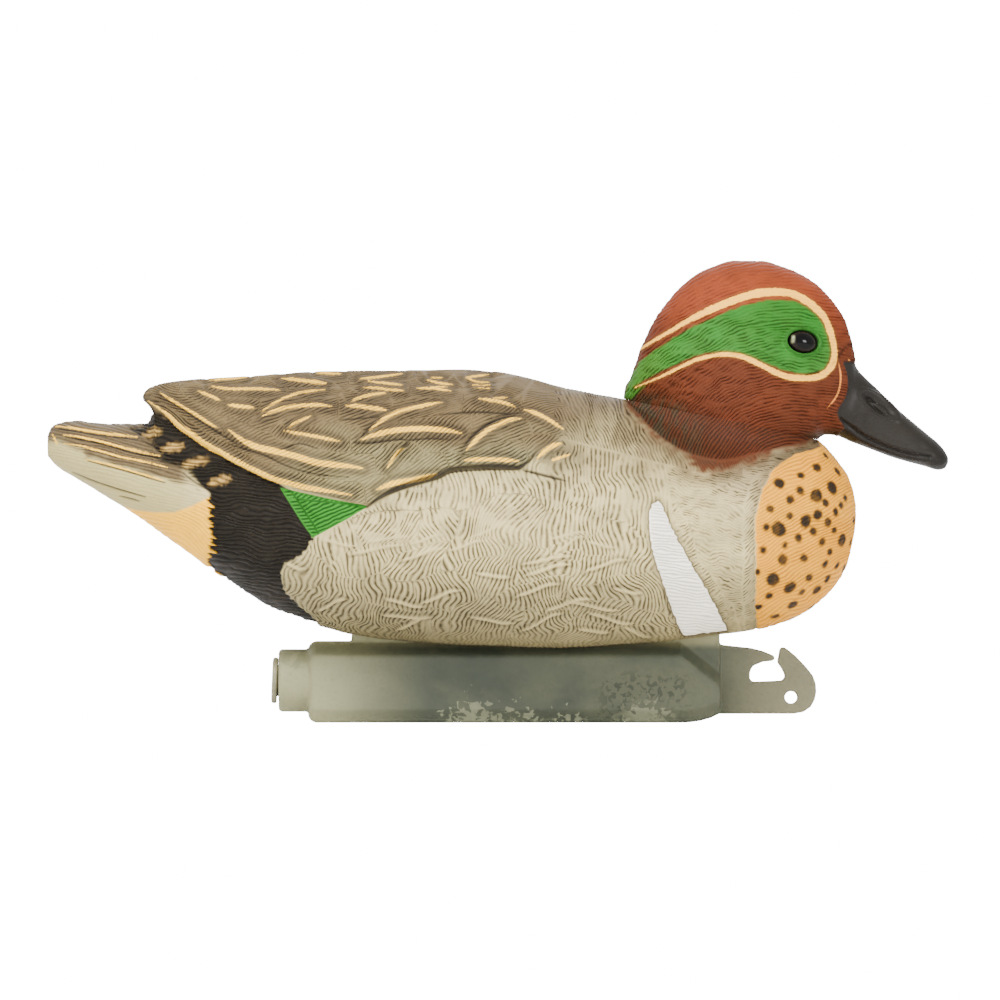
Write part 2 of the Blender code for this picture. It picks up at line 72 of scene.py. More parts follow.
HALF_WIDTH = [
    (-155.0, 8.0), (-153.0, 12.5), (-147.0, 18.0), (-138.0, 21.5), (-124.0, 25.0),
    (-112.0, 30.0), (-98.0, 37.0), (-82.0, 44.0), (-60.0, 51.0), (-30.0, 56.5), (5.0, 59.0),
    (35.0, 58.0), (60.0, 53.5), (80.0, 47.0), (96.0, 39.0), (107.0, 31.0), (115.0, 22.5),
    (119.5, 15.0), (122.0, 8.0), (122.8, 3.5),
]
WIDEST_Z = [
    (-155.0, 95.5), (-138.0, 94.0), (-120.0, 87.0), (-95.0, 78.0), (-50.0, 70.0), (10.0, 66.0),
    (60.0, 64.0), (100.0, 66.0), (122.8, 72.0),
]
SHOULDER = [
    (43.1, 111.4), (52.0, 106.2), (62.0, 101.6), (75.0, 97.6), (88.0, 95.8), (98.0, 95.6),
    (105.0, 96.3), (110.0, 97.4),
]
CROWN = [
    (43.2, 112.6), (43.8, 115.5), (45.6, 118.6), (46.8, 122.5), (48.6, 127.6), (50.8, 133.1),
    (55.3, 141.3), (63.9, 150.6), (72.8, 156.1), (81.4, 158.5), (90.4, 158.5), (99.0, 156.1),
    (107.9, 151.8), (114.5, 146.0), (119.4, 138.6), (122.0, 130.5), (123.4, 123.4),
    (126.0, 119.2), (130.0, 115.3), (137.5, 107.9), (144.8, 101.7), (150.4, 96.9), (153.4, 93.6),
    (155.0, 90.9),
]
CHIN = [
    (110.0, 97.4), (112.1, 98.9), (114.1, 99.0), (118.6, 97.4), (126.2, 94.5), (136.2, 90.7),
    (146.8, 87.8), (151.3, 86.6), (153.8, 87.4), (155.0, 89.4),
]
HEAD_HALF_WIDTH = [
    (43.2, 2.5), (44.5, 7.5), (48.0, 13.0), (54.0, 18.0), (63.0, 21.6), (76.0, 23.5),
    (88.0, 23.3), (99.0, 21.0), (107.0, 17.9), (114.0, 13.8), (119.0, 10.4), (123.0, 8.2),
    (128.0, 7.4), (136.0, 7.4), (144.0, 7.7), (149.0, 6.9), (152.5, 4.8), (154.4, 2.6),
    (155.0, 1.3),
]
HEAD_WIDEST_Z = [
    (43.2, 112.0), (50.0, 117.0), (62.0, 122.0), (80.0, 124.5), (102.0, 125.0), (113.0, 121.0),
    (119.0, 114.0), (124.0, 106.5), (130.0, 102.0), (142.0, 95.5), (151.0, 91.0), (155.0, 90.1),
]
NAPE = (43.1, 111.4)
THROAT = (110.0, 97.4)
NECK_HALF_WIDTH = 22.0
NECK_FLARE = 0.45
NECK_FADE = 0.025
SEAM_GAP = 0.06

# ------------------------------------------------- painted strokes and zones
# A stroke is (half width, centre line); every point is (x, z) on the bird's side.
CREAM = [
    (0.85, [(-117.2, 109.8), (-114.0, 106.4), (-110.1, 102.4), (-105.2, 99.0), (-100.3, 95.5),
        (-94.8, 92.6), (-89.4, 89.6), (-83.5, 86.7), (-77.6, 84.0), (-71.7, 82.3), (-65.8, 80.8),
        (-59.9, 79.8), (-50.1, 78.2)]),
    (0.5, [(-112.5, 113.0), (-109.6, 110.3), (-106.2, 107.1), (-102.2, 104.4), (-98.8, 102.2),
        (-95.8, 100.7)]),
    (0.95, [(-92.1, 100.0), (-89.4, 98.0), (-86.0, 95.8), (-81.6, 94.1), (-75.7, 92.8),
        (-68.8, 91.1), (-62.9, 89.2), (-57.0, 88.4), (-51.1, 87.8), (-46.2, 87.0)]),
    (0.5, [(-99.0, 115.3), (-95.3, 114.5), (-90.4, 114.1), (-84.5, 114.0), (-79.6, 114.0),
        (-74.7, 113.7)]),
    (0.5, [(-102.2, 113.3), (-99.3, 111.8), (-95.3, 109.9)]),
    (0.55, [(-92.4, 108.3), (-88.4, 107.8), (-83.5, 107.3)]),
    (0.4, [(-81.1, 105.9), (-77.6, 108.3), (-73.7, 110.5), (-69.3, 112.3), (-64.4, 113.3),
        (-59.4, 113.8)]),
    (0.6, [(-80.6, 104.5), (-77.1, 106.1), (-72.7, 107.4), (-67.8, 108.1), (-62.4, 108.3),
        (-57.0, 107.7)]),
    (0.35, [(-71.7, 100.6), (-68.8, 102.4), (-64.1, 104.5)]),
    (0.5, [(-73.0, 99.5), (-68.3, 98.7), (-62.9, 97.8), (-58.0, 96.8), (-54.0, 96.0)]),
    (0.6, [(-74.4, 118.2), (-71.2, 117.9), (-66.8, 117.3), (-62.4, 116.9), (-59.2, 116.4)]),
    (0.3, [(-99.3, 117.4), (-93.4, 117.9), (-86.5, 118.4)]),
    (0.3, [(-62.4, 120.0), (-54.0, 119.9)]),
    (0.4, [(-47.6, 117.9), (-43.7, 118.4), (-38.8, 119.0), (-32.9, 119.8)]),
    (0.4, [(-44.7, 117.4), (-39.8, 116.4), (-32.9, 115.5)]),
    (0.5, [(-46.2, 114.6), (-41.7, 114.4), (-37.3, 113.7), (-32.4, 113.4)]),
    (0.5, [(-50.3, 109.3), (-47.1, 110.8), (-43.2, 111.8), (-38.5, 112.5)]),
    (0.65, [(-52.3, 107.8), (-48.1, 107.7), (-43.7, 107.1), (-38.3, 106.4)]),
    (0.6, [(-43.9, 99.7), (-41.2, 101.9), (-37.8, 104.2), (-32.9, 106.4), (-27.0, 107.8),
        (-22.6, 108.6), (-19.1, 109.0)]),
    (0.85, [(-46.9, 96.5), (-42.7, 98.0), (-37.8, 99.2), (-32.4, 100.0), (-27.0, 100.2),
        (-21.1, 100.0), (-16.2, 99.5), (-12.5, 98.8)]),
    (0.45, [(-37.8, 87.2), (-35.8, 90.4), (-33.9, 92.8), (-32.1, 93.8)]),
    (0.85, [(-41.3, 79.9), (-38.0, 81.3), (-35.0, 82.2), (-30.6, 82.9), (-25.3, 83.9),
        (-20.9, 85.2)]),
    (0.4, [(-28.0, 114.3), (-22.6, 114.1), (-16.2, 113.2)]),
    (0.4, [(-24.5, 117.4), (-20.1, 116.2), (-15.7, 115.6)]),
    (0.25, [(-23.1, 118.2), (-19.1, 118.3)]),
    (0.25, [(-23.1, 114.7), (-17.6, 114.7)]),
    (0.3, [(-11.3, 118.4), (-7.3, 119.0), (-3.4, 119.5)]),
    (0.3, [(-10.8, 118.2), (-7.3, 116.9), (-2.9, 116.6)]),
    (0.25, [(-8.8, 115.5), (-2.9, 115.5)]),
    (0.2, [(-8.3, 114.4), (-2.9, 114.2)]),
    (0.5, [(-6.6, 110.3), (-2.9, 109.8), (1.5, 109.0), (5.7, 107.6)]),
    (0.25, [(-1.9, 110.5), (3.0, 110.8)]),
    (0.6, [(8.9, 106.6), (12.8, 105.4), (17.8, 103.2), (22.2, 100.7)]),
    (0.7, [(-10.8, 93.1), (-7.8, 96.3), (-4.4, 99.2), (0.1, 101.7), (4.0, 103.2), (7.7, 103.7)]),
    (0.65, [(-12.0, 89.6), (-7.3, 90.0), (-2.4, 90.0), (2.5, 89.8), (6.9, 89.4)]),
    (0.7, [(13.3, 90.4), (15.8, 92.8), (18.7, 94.8), (21.7, 95.8)]),
    (0.4, [(18.3, 89.9), (21.2, 90.9), (24.6, 92.1)]),
    (0.4, [(-152.4, 101.9), (-147.9, 101.7), (-143.0, 101.0), (-137.1, 100.0), (-130.7, 99.2),
        (-123.9, 98.3)]),
    (0.4, [(-149.4, 99.0), (-145.0, 98.5), (-139.6, 97.5), (-134.7, 96.3), (-128.3, 94.6),
        (-122.4, 93.1), (-116.0, 91.7)]),
    (0.35, [(-149.4, 96.0), (-143.0, 95.1), (-135.7, 93.1), (-128.3, 91.1), (-120.4, 89.6),
        (-113.5, 87.7)]),
    (0.4, [(-141.6, 90.4), (-135.7, 89.2), (-128.3, 87.2), (-121.4, 85.2), (-114.5, 83.3)]),
    (0.3, [(-153.4, 99.5), (-151.4, 95.5)]),
]
# Painted shadows: thin dark lines under the feather edges and below the scapular group; the
# relief also cuts them as grooves.
SHADOW_LINES = [
    (0.8, [(-45.2, 74.2), (-39.8, 77.8), (-33.9, 80.6), (-27.0, 82.8), (-20.6, 84.7),
        (-17.2, 86.5), (-13.7, 87.2), (-7.3, 87.7), (-0.4, 87.9), (4.5, 87.7), (7.9, 87.9),
        (11.9, 91.4)]),
    (0.4, [(8.4, 87.2), (14.3, 85.5), (23.2, 83.3)]),
    (0.25, [(-49.6, 95.8), (-45.2, 95.7), (-39.8, 96.3), (-33.9, 97.0), (-30.4, 96.7),
        (-23.1, 97.2), (-16.2, 96.8)]),
    (0.25, [(-30.4, 96.3), (-32.4, 94.2), (-35.3, 90.9)]),
    (0.2, [(-54.5, 103.4), (-47.1, 103.9), (-40.8, 104.6)]),
    (0.25, [(-20.1, 105.1), (-12.7, 105.9), (-5.3, 106.1), (2.0, 105.7), (8.4, 106.1)]),
    (0.35, [(-11.7, 94.8), (-9.3, 97.8), (-5.3, 101.2), (-0.4, 103.7), (6.0, 105.2)]),
    (0.2, [(-47.1, 97.3), (-45.2, 99.7), (-42.7, 102.4)]),
    (0.2, [(-92.4, 95.5), (-86.0, 93.6), (-79.6, 91.6), (-73.7, 88.7), (-66.3, 86.2),
        (-58.0, 84.7), (-51.1, 84.2)]),
    (0.25, [(-112.5, 112.0), (-109.1, 108.8), (-104.7, 104.9), (-99.3, 101.5), (-94.4, 98.5),
        (-89.4, 95.5)]),
    (0.2, [(-74.7, 93.6), (-67.8, 95.5), (-61.4, 93.6)]),
    (0.18, [(-146.5, 86.0), (-138.1, 82.8), (-129.8, 79.8), (-121.4, 77.4)]),
    (0.15, [(-130.2, 77.8), (-123.4, 75.9)]),
    (0.2, [(-152.4, 101.2), (-145.0, 100.5), (-137.1, 99.2), (-130.2, 98.4), (-123.9, 97.5)]),
    (0.2, [(-148.9, 98.3), (-139.6, 96.8), (-128.3, 93.7), (-117.0, 91.0)]),
    (0.2, [(-141.1, 89.9), (-128.3, 86.5), (-114.5, 82.5)]),
    (0.2, [(-108.1, 85.7), (-103.7, 82.3), (-98.3, 79.3)]),
]
BARS = [
    (0.75, [(-121.4, 99.7), (-117.0, 100.7)]),
    (0.7, [(-115.0, 94.3), (-109.3, 95.4)]),
    (0.7, [(-108.1, 88.4), (-100.7, 90.6)]),
    (0.65, [(-98.8, 82.5), (-93.1, 84.1)]),
]
BLACK_ZONE = [
    (-123.4, 102.8), (-119.9, 105.6), (-120.4, 108.8), (-113.5, 106.4), (-103.7, 99.5),
    (-93.9, 92.1), (-82.1, 85.7), (-71.2, 79.8), (-66.8, 74.9), (-61.4, 70.0), (-62.9, 65.1),
    (-64.4, 58.2), (-66.3, 47.9), (-61.4, 30.6), (-84.0, 35.6), (-99.3, 53.8), (-99.5, 57.2),
    (-98.8, 62.1), (-100.0, 67.0), (-99.0, 72.9), (-98.8, 78.8), (-102.7, 81.8), (-109.1, 87.2),
    (-115.0, 90.1), (-118.9, 94.6), (-122.4, 98.7), (-126.3, 101.9),
]
YELLOW_ZONE = [
    (-128.3, 74.2), (-124.3, 72.9), (-118.4, 72.4), (-111.1, 72.4), (-104.7, 74.7),
    (-98.8, 77.8), (-95.8, 71.9), (-95.8, 47.9), (-108.6, 47.9), (-118.4, 65.1),
]
TAIL_GREY = [
    (-157.8, 93.1), (-154.3, 96.3), (-150.4, 96.1), (-145.0, 94.1), (-141.6, 91.1),
    (-135.7, 89.4), (-128.3, 87.2), (-120.4, 84.7), (-113.5, 82.8), (-106.6, 81.0),
    (-99.8, 78.3), (-98.3, 76.9), (-104.7, 73.9), (-111.1, 71.9), (-118.4, 71.9), (-128.3, 73.7),
    (-138.1, 77.8), (-157.8, 87.2),
]
GREEN = [
    (-75.3, 81.1), (-68.3, 79.4), (-59.7, 77.5), (-51.1, 75.8), (-44.5, 74.6), (-51.1, 70.4),
    (-58.0, 66.6), (-63.8, 63.5), (-67.3, 68.4), (-71.4, 74.9),
]
BROWN = [
    (-137.1, 135.1), (-33.9, 135.1), (21.2, 128.2), (48.7, 112.8), (35.0, 104.2), (21.2, 97.3),
    (26.4, 92.1), (17.1, 89.7), (11.2, 91.1), (8.8, 87.6), (0.6, 87.6), (-9.8, 88.0),
    (-15.6, 86.9), (-20.4, 84.5), (-27.3, 82.1), (-36.3, 79.0), (-45.2, 74.6), (-54.9, 77.0),
    (-66.2, 79.7), (-77.6, 83.5), (-89.1, 88.7), (-97.5, 93.8), (-106.2, 99.0), (-112.0, 103.8),
    (-118.2, 110.0), (-121.3, 112.8),
]
CRESCENT = [
    (54.9, 76.6), (56.0, 75.2), (57.3, 71.8), (59.1, 67.7), (61.5, 62.9), (64.2, 58.0),
    (67.7, 51.8), (71.5, 45.6), (74.9, 39.4), (78.7, 31.5), (63.5, 29.8), (60.8, 36.0),
    (58.7, 41.9), (56.7, 47.4), (54.9, 52.9), (53.2, 58.4), (52.2, 62.9), (51.7, 68.4),
    (51.8, 72.8), (52.9, 75.2),
]
BREAST_PATCH = [
    (110.0, 97.3), (111.4, 94.9), (106.6, 93.7), (102.1, 92.5), (99.0, 90.7), (96.1, 88.7),
    (93.5, 85.6), (91.8, 82.5), (90.4, 79.4), (89.4, 75.8), (88.7, 71.8), (88.3, 67.7),
    (88.5, 61.1), (88.7, 54.2), (88.3, 47.4), (88.3, 41.9), (89.0, 31.2), (103.8, 28.4),
    (131.3, 42.2), (131.3, 97.3),
]
COLLAR = [
    (43.1, 111.0), (44.6, 107.9), (46.7, 104.8), (49.8, 102.1), (52.5, 99.0), (56.7, 95.9),
    (60.3, 93.8), (63.2, 91.9), (64.9, 88.7), (66.6, 86.3), (70.1, 85.2), (77.0, 86.3),
    (84.2, 88.3), (91.8, 91.8), (97.6, 93.8), (103.8, 95.2), (110.0, 95.9), (112.4, 97.3),
    (110.0, 104.2), (43.2, 112.8),
]
HEAD_EDGE = [
    (43.9, 109.7), (47.4, 106.2), (50.5, 102.4), (53.6, 99.7), (57.0, 96.9), (61.1, 94.2),
    (65.9, 91.8), (71.1, 90.4), (76.3, 89.9), (81.4, 90.7), (86.6, 92.1), (93.5, 93.5),
    (100.4, 95.2), (105.5, 96.6), (110.7, 98.6),
]
REAR_FLANK = [
    (-63.8, 63.5), (-66.2, 59.4), (-68.6, 56.7), (-73.1, 54.9), (-74.8, 51.1), (-73.8, 45.6),
    (-70.7, 41.9), (-65.9, 37.7), (-59.7, 33.2),
]
HEAD_GREEN = [
    (46.4, 120.8), (48.5, 124.2), (53.3, 127.7), (59.1, 131.7), (64.8, 135.1), (71.7, 138.3),
    (78.6, 141.4), (85.5, 144.0), (92.3, 145.3), (96.9, 145.5), (101.5, 144.9), (106.1, 143.2),
    (109.5, 140.3), (112.1, 136.3), (113.8, 132.3), (114.4, 127.7), (113.8, 124.2),
    (111.8, 121.4), (108.4, 120.1), (103.8, 119.9), (99.2, 120.8), (93.5, 122.8), (87.7, 125.1),
    (82.0, 127.0), (76.3, 127.4), (71.7, 127.1), (67.1, 126.0), (61.9, 123.7), (56.2, 120.8),
    (50.5, 118.2), (47.6, 115.6), (51.0, 116.8), (49.9, 115.1), (45.3, 111.0), (43.0, 111.6),
]
BILL_EDGE = [
    (123.3, 123.4), (119.0, 124.2), (119.8, 121.4), (120.3, 118.5), (120.3, 115.1),
    (119.3, 111.6), (117.0, 107.9), (116.7, 105.9), (117.6, 103.6), (119.0, 101.3),
]
HEAD_STRIPE = [
    (47.0, 127.3), (48.9, 128.5), (53.3, 131.2), (59.1, 134.5), (64.8, 137.9), (70.5, 140.8),
    (76.3, 143.4), (80.9, 145.2), (85.5, 146.7), (90.6, 147.7), (96.4, 148.0), (101.5, 147.2),
    (106.1, 144.8), (109.5, 142.0), (112.1, 139.1), (113.8, 135.1), (115.0, 131.1),
    (115.6, 127.1), (115.0, 123.7), (113.0, 120.8), (109.5, 118.8), (104.4, 118.5),
    (99.8, 118.8), (95.8, 120.2), (92.3, 121.9), (87.7, 124.2), (83.2, 126.0), (78.6, 126.6),
    (74.0, 126.2), (68.2, 124.8), (63.1, 122.5), (57.9, 119.9), (52.8, 117.6), (47.3, 115.3),
]
CHEEK_DAB = [(120.4, 125.2), (121.6, 123.9)]
CHEEK_LINE = [(117.0, 124.2), (117.7, 119.6), (117.3, 115.1), (115.9, 111.6), (113.0, 107.9)]
SPOTS = [
    (112.4, 91.8, 0.7), (109.3, 87.6, 0.9), (103.8, 84.9, 0.7), (96.2, 82.1, 1.0),
    (116.5, 86.3, 0.8), (114.5, 80.7, 1.2), (103.5, 79.7, 0.8), (109.0, 78.0, 1.2),
    (100.0, 76.6, 0.8), (119.0, 77.3, 0.7), (117.6, 74.6, 0.7), (115.5, 72.5, 0.7),
    (93.1, 73.5, 0.7), (109.3, 71.5, 0.9), (105.2, 69.4, 1.2), (112.8, 69.0, 0.8),
    (95.9, 66.6, 1.4), (122.1, 69.7, 0.7), (102.8, 63.5, 0.8), (117.9, 62.9, 1.1),
    (121.0, 62.2, 0.7), (111.0, 62.2, 0.7), (90.7, 59.4, 0.7), (97.3, 56.3, 0.9),
    (104.8, 56.7, 0.8), (112.1, 54.6, 0.7), (116.2, 54.2, 0.7), (118.6, 53.2, 0.7),
    (88.7, 51.8, 0.7), (94.2, 49.4, 1.2), (106.6, 50.1, 0.8), (100.0, 46.7, 1.1),
    (109.3, 46.0, 1.0), (89.0, 40.1, 0.7), (101.1, 40.8, 1.1), (94.9, 37.0, 0.8),
    (101.1, 36.0, 0.7), (107.9, 40.1, 0.8), (98.0, 61.1, 0.6), (91.8, 67.3, 0.6),
    (99.7, 71.1, 0.7), (107.9, 65.9, 0.7), (113.8, 58.7, 0.7), (92.8, 43.9, 0.7),
    (104.2, 45.0, 0.7), (112.8, 49.8, 0.7), (115.2, 66.3, 0.7), (112.1, 75.6, 0.7),
]

EYE_CENTRE = (104.8, 131.0)
EYE_SIZE = (5.3, 3.9, 2.8)
EYE_TILT = math.radians(-8.0)


# --------------------------------------------------------------- small maths
def smooth(points):
    """A shape-keeping cubic through the points, as a function of an array."""
    px = np.array([p[0] for p in points])
    pz = np.array([p[1] for p in points])
    h = np.diff(px)
    d = np.diff(pz) / h
    m = np.zeros(len(px))
    m[0] = d[0]
    m[-1] = d[-1]
    for i in range(1, len(px) - 1):
        if d[i - 1] * d[i] > 0:
            w1 = 2 * h[i] + h[i - 1]
            w2 = h[i] + 2 * h[i - 1]
            m[i] = (w1 + w2) / (w1 / d[i - 1] + w2 / d[i])

    def value(x):
        x = np.clip(np.asarray(x, float), px[0], px[-1])
        i = np.clip(np.searchsorted(px, x, side="right") - 1, 0, len(h) - 1)
        t = (x - px[i]) / h[i]
        a = (1 + 2 * t) * (1 - t) ** 2 * pz[i]
        b = t * (1 - t) ** 2 * h[i] * m[i]
        c = t * t * (3 - 2 * t) * pz[i + 1]
        e = t * t * (t - 1) * h[i] * m[i + 1]
        return a + b + c + e

    return value


def step(low, high, v):
    """0 below low, 1 above high, smooth between; low may be the larger."""
    t = np.clip((v - low) / (high - low), 0.0, 1.0)
    return t * t * (3 - 2 * t)


def bump(v, width):
    return np.exp(-((v / width) ** 2))


def hashed(ix, iy, seed):
    n = (ix * 374761393 + iy * 668265263 + seed * 974634777) & 0xFFFFFFFF
    n = ((n ^ (n >> 13)) * 1274126177) & 0xFFFFFFFF
    return ((n ^ (n >> 16)) & 0xFFFF) / 65535.0


def noise(x, y, seed):
    """Smooth value noise from -1 to 1 with one cell per unit."""
    ix = np.floor(x).astype(np.int64)
    iy = np.floor(y).astype(np.int64)
    fx = x - ix
    fy = y - iy
    u = fx * fx * (3 - 2 * fx)
    v = fy * fy * (3 - 2 * fy)
    low = hashed(ix, iy, seed) * (1 - u) + hashed(ix + 1, iy, seed) * u
    high = hashed(ix, iy + 1, seed) * (1 - u) + hashed(ix + 1, iy + 1, seed) * u
    return 2 * (low * (1 - v) + high * v) - 1


def rough_noise(x, y, seed, octaves=3):
    total = np.zeros_like(x)
    size = 1.0
    for k in range(octaves):
        total += noise(x / size, y / size, seed + 17 * k) * size
        size *= 0.5
    return total / 1.75


def wavy(u, x, z, *waves):
    """u with smooth noise added; a wave is (height, length along x, along z, seed)."""
    for height, along_x, along_z, seed in waves:
        u = u + height * noise(x / along_x, z / along_z, seed)
    return u


def rounded(points, count=5):
    """The same line with extra points on a smooth curve through its own."""
    p = np.array(points, float)
    if len(p) < 3:
        return p
    ends = np.vstack([2 * p[0] - p[1], p, 2 * p[-1] - p[-2]])
    out = []
    for a, b, c, d in zip(ends, ends[1:], ends[2:], ends[3:]):
        for k in range(count):
            t = k / count
            out.append(0.5 * (2 * b + (c - a) * t + (2 * a - 5 * b + 4 * c - d) * t * t
                              + (3 * b - a - 3 * c + d) * t ** 3))
    out.append(p[-1])
    return np.array(out)


def along_line(x, z, line):
    """Distance, signed side and length along, from points to a line."""
    near = np.full(x.shape, 1e9)
    side = np.ones(x.shape)
    along = np.zeros(x.shape)
    done = 0.0
    for a, b in zip(line, line[1:]):
        ex, ez = b - a
        length = math.hypot(ex, ez)
        t = np.clip(((x - a[0]) * ex + (z - a[1]) * ez) / (length * length), 0.0, 1.0)
        dx = x - a[0] - t * ex
        dz = z - a[1] - t * ez
        d = np.hypot(dx, dz)
        closer = d < near
        near = np.where(closer, d, near)
        side = np.where(closer, np.sign(ex * dz - ez * dx), side)
        along = np.where(closer, done + t * length, along)
        done += length
    return near, side, along, done


def stroke_field(x, z, strokes, reach=5.0):
    """Distance outside the nearest tapered stroke, its number, and the lead over the next."""
    field = np.full(x.shape, reach)
    second = np.full(x.shape, reach)
    owner = np.full(x.shape, -1)
    for k, (half, points) in enumerate(strokes):
        line = rounded(points, 4)
        low = line.min(axis=0) - reach
        high = line.max(axis=0) + reach
        at = np.nonzero((x > low[0]) & (x < high[0]) & (z > low[1]) & (z < high[1]))
        near, _, along, total = along_line(x[at], z[at], line)
        s = along / total
        taper = 0.25 + 0.75 * np.clip(np.minimum(s, 1 - s) * 5.0, 0, 1)
        d = near - half * taper
        better = d < field[at]
        second[at] = np.where(better, field[at], np.minimum(second[at], d))
        field[at] = np.where(better, d, field[at])
        owner[at] = np.where(better, k, owner[at])
    return field, owner, second - field


def zone_field(x, z, outline):
    """Signed distance to a closed outline, negative inside."""
    p = np.array(outline, float)
    near = np.full(x.shape, 1e9)
    inside = np.zeros(x.shape, bool)
    for a, b in zip(p, np.roll(p, -1, axis=0)):
        ex, ez = b - a
        t = np.clip(((x - a[0]) * ex + (z - a[1]) * ez) / (ex * ex + ez * ez + 1e-9), 0.0, 1.0)
        near = np.minimum(near, np.hypot(x - a[0] - t * ex, z - a[1] - t * ez))
        if a[1] != b[1]:
            crosses = (a[1] > z) != (b[1] > z)
            inside ^= crosses & (x < ex * (z - a[1]) / ez + a[0])
    return np.where(inside, -near, near)


# ---------------------------------------------------------------------- paint
# The renderer's film look, turned round by paint(): its colour matrices and tone curve.
FILM_GAMUT = np.array([
    [0.6274, 0.3293, 0.0433], [0.0691, 0.9195, 0.0113], [0.0164, 0.0880, 0.8956],
])
FILM_SPREAD = np.array([
    [0.8566, 0.0951, 0.0483], [0.1373, 0.7612, 0.1014], [0.1119, 0.0768, 0.8113],
])
FILM_GATHER = np.array([
    [1.1271, -0.1106, -0.0165], [-0.1413, 1.1578, -0.0165], [-0.1413, -0.1106, 1.2519],
])
FILM_CURVE = (15.5, -40.14, 31.96, -6.868, 0.4298, 0.1191, -0.00232)
FILM_STOPS = (16.5, -12.474)
LIGHT_LEVEL = 3.5
FILM_SHARE = 0.86


def paint(r, g, b):
    """Paint that shows as this display colour (0 to 255) in the studio's light."""
    shown = np.array([r, g, b], float) / 255.0
    plain = np.where(shown <= 0.04045, shown / 12.92, ((shown + 0.055) / 1.055) ** 2.4)
    c = np.maximum(FILM_GAMUT @ plain, 0.0) ** (1 / 2.2)
    c = np.linalg.inv(FILM_GATHER) @ c
    stops = np.linspace(0.03, 1.0, 400)
    c = np.interp(c, np.polyval(FILM_CURVE, stops), stops)
    c = 2.0 ** (c * FILM_STOPS[0] + FILM_STOPS[1])
    c = np.linalg.inv(FILM_GAMUT) @ (np.linalg.inv(FILM_SPREAD) @ c) / LIGHT_LEVEL
    c = np.clip(c, 0.12 * plain, 0.95)
    return c ** FILM_SHARE * plain ** (1 - FILM_SHARE)


def layered(base, *coats):
    """Base paint with every (amount, paint) of the coats laid over it in turn."""
    for amount, new in coats:
        base = base + (new - base) * amount[..., None]
    return base


def carved(phase):
    """1 along the middle of every groove, 0 between them."""
    return (0.5 + 0.5 * np.cos(2 * math.pi * phase)) ** 2


# ------------------------------------------------------------ forms of a bird
back_z = smooth(BACK)
breast_z = smooth(BREAST)
belly_z = smooth(BELLY)
half_width = smooth(HALF_WIDTH)
widest_z = smooth(WIDEST_Z)
shoulder_z = smooth(SHOULDER)
crown_z = smooth(CROWN)
chin_z = smooth(CHIN)
head_half_width = smooth(HEAD_HALF_WIDTH)
head_widest_z = smooth(HEAD_WIDEST_Z)

SEAM_SLOPE = (THROAT[1] - NAPE[1]) / (THROAT[0] - NAPE[0])


def seam_z(x):
    return NAPE[1] + SEAM_SLOPE * (x - NAPE[0])


def neck_half_width(x):
    u = (x - (NAPE[0] + THROAT[0]) / 2) / ((THROAT[0] - NAPE[0]) / 2)
    return NECK_HALF_WIDTH * np.sqrt(np.clip(1 - u * u, 0.0, 1.0))


def in_neck(x):
    return (x > NAPE[0]) & (x < THROAT[0])


def section(z, low, wide, high, power_low, power_high):
    up = np.clip((z - wide) / (high - wide), 0.0, 1.0)
    down = np.clip((wide - z) / (wide - low), 0.0, 1.0)
    return np.sqrt(np.where(z >= wide, 1 - up ** power_high, 1 - down ** power_low))


def body_top(x):
    return np.where(x <= NAPE[0], back_z(x), np.where(x < THROAT[0], seam_z(x), breast_z(x)))


def body_half(x, z):
    neck_zone = in_neck(x)
    high = np.where(neck_zone, shoulder_z(x), body_top(x))
    flesh = half_width(x) * section(z, belly_z(x), widest_z(x), high, 2.5, 2.2)
    depth = np.maximum(seam_z(x) - z, 0.0)
    neck = neck_half_width(x) + NECK_FLARE * depth - NECK_FADE * depth * depth
    k = 9.0 * np.clip(depth / 7.0, 0.02, 1.0)
    joined = 0.5 * (flesh + neck + np.sqrt((flesh - neck) ** 2 + k * k)) - 0.12 * k
    ends = step(NAPE[0], NAPE[0] + 6, x) * step(THROAT[0], THROAT[0] - 5, x)
    joined = np.maximum(flesh, neck) * (1 - ends) + joined * ends
    return np.where(neck_zone, joined, flesh)


def head_half(x, z):
    neck_zone = in_neck(x)
    low = np.where(neck_zone, seam_z(x), chin_z(x))
    full = head_half_width(x)
    base = np.where(neck_zone, np.minimum(full, neck_half_width(x)), 0.0)
    wide = head_widest_z(x)
    up = section(z, low, wide, crown_z(x), 2.2, 2.1)
    soft = np.clip((wide - z) / (wide - low), 0.0, 1.0)
    up = np.where(neck_zone & (z < wide), 1 - (1 - step(THROAT[0], 98.0, x)) * (1 - up)
                  - step(THROAT[0], 98.0, x) * soft ** 2.4, up)
    return np.where(z >= wide, full * up, base + (full - base) * up)


def half_skin(stations, low, high, half, count):
    """The right side as a grid of evenly spaced points, low to high."""
    t = (1 - np.cos(np.linspace(0, math.pi, 500))) / 2
    rows = []
    for x, a, b in zip(stations, low, high):
        z = a + (b - a) * t
        w = half(np.full(z.shape, x), z)
        arc = np.concatenate([[0.0], np.cumsum(np.hypot(np.diff(w), np.diff(z)))])
        s = np.linspace(0, arc[-1], count)
        rows.append(np.stack([np.full(count, x), -np.interp(s, arc, w), np.interp(s, arc, z)], 1))
    return np.array(rows)


def arc_height(p):
    """Length up the section from its widest point, negative below it."""
    s = np.concatenate([np.zeros((len(p), 1)),
                        np.cumsum(np.linalg.norm(np.diff(p, axis=1), axis=2), axis=1)], axis=1)
    wide = np.argmin(p[:, :, 1], axis=1)
    return s - s[np.arange(len(p)), wide][:, None]


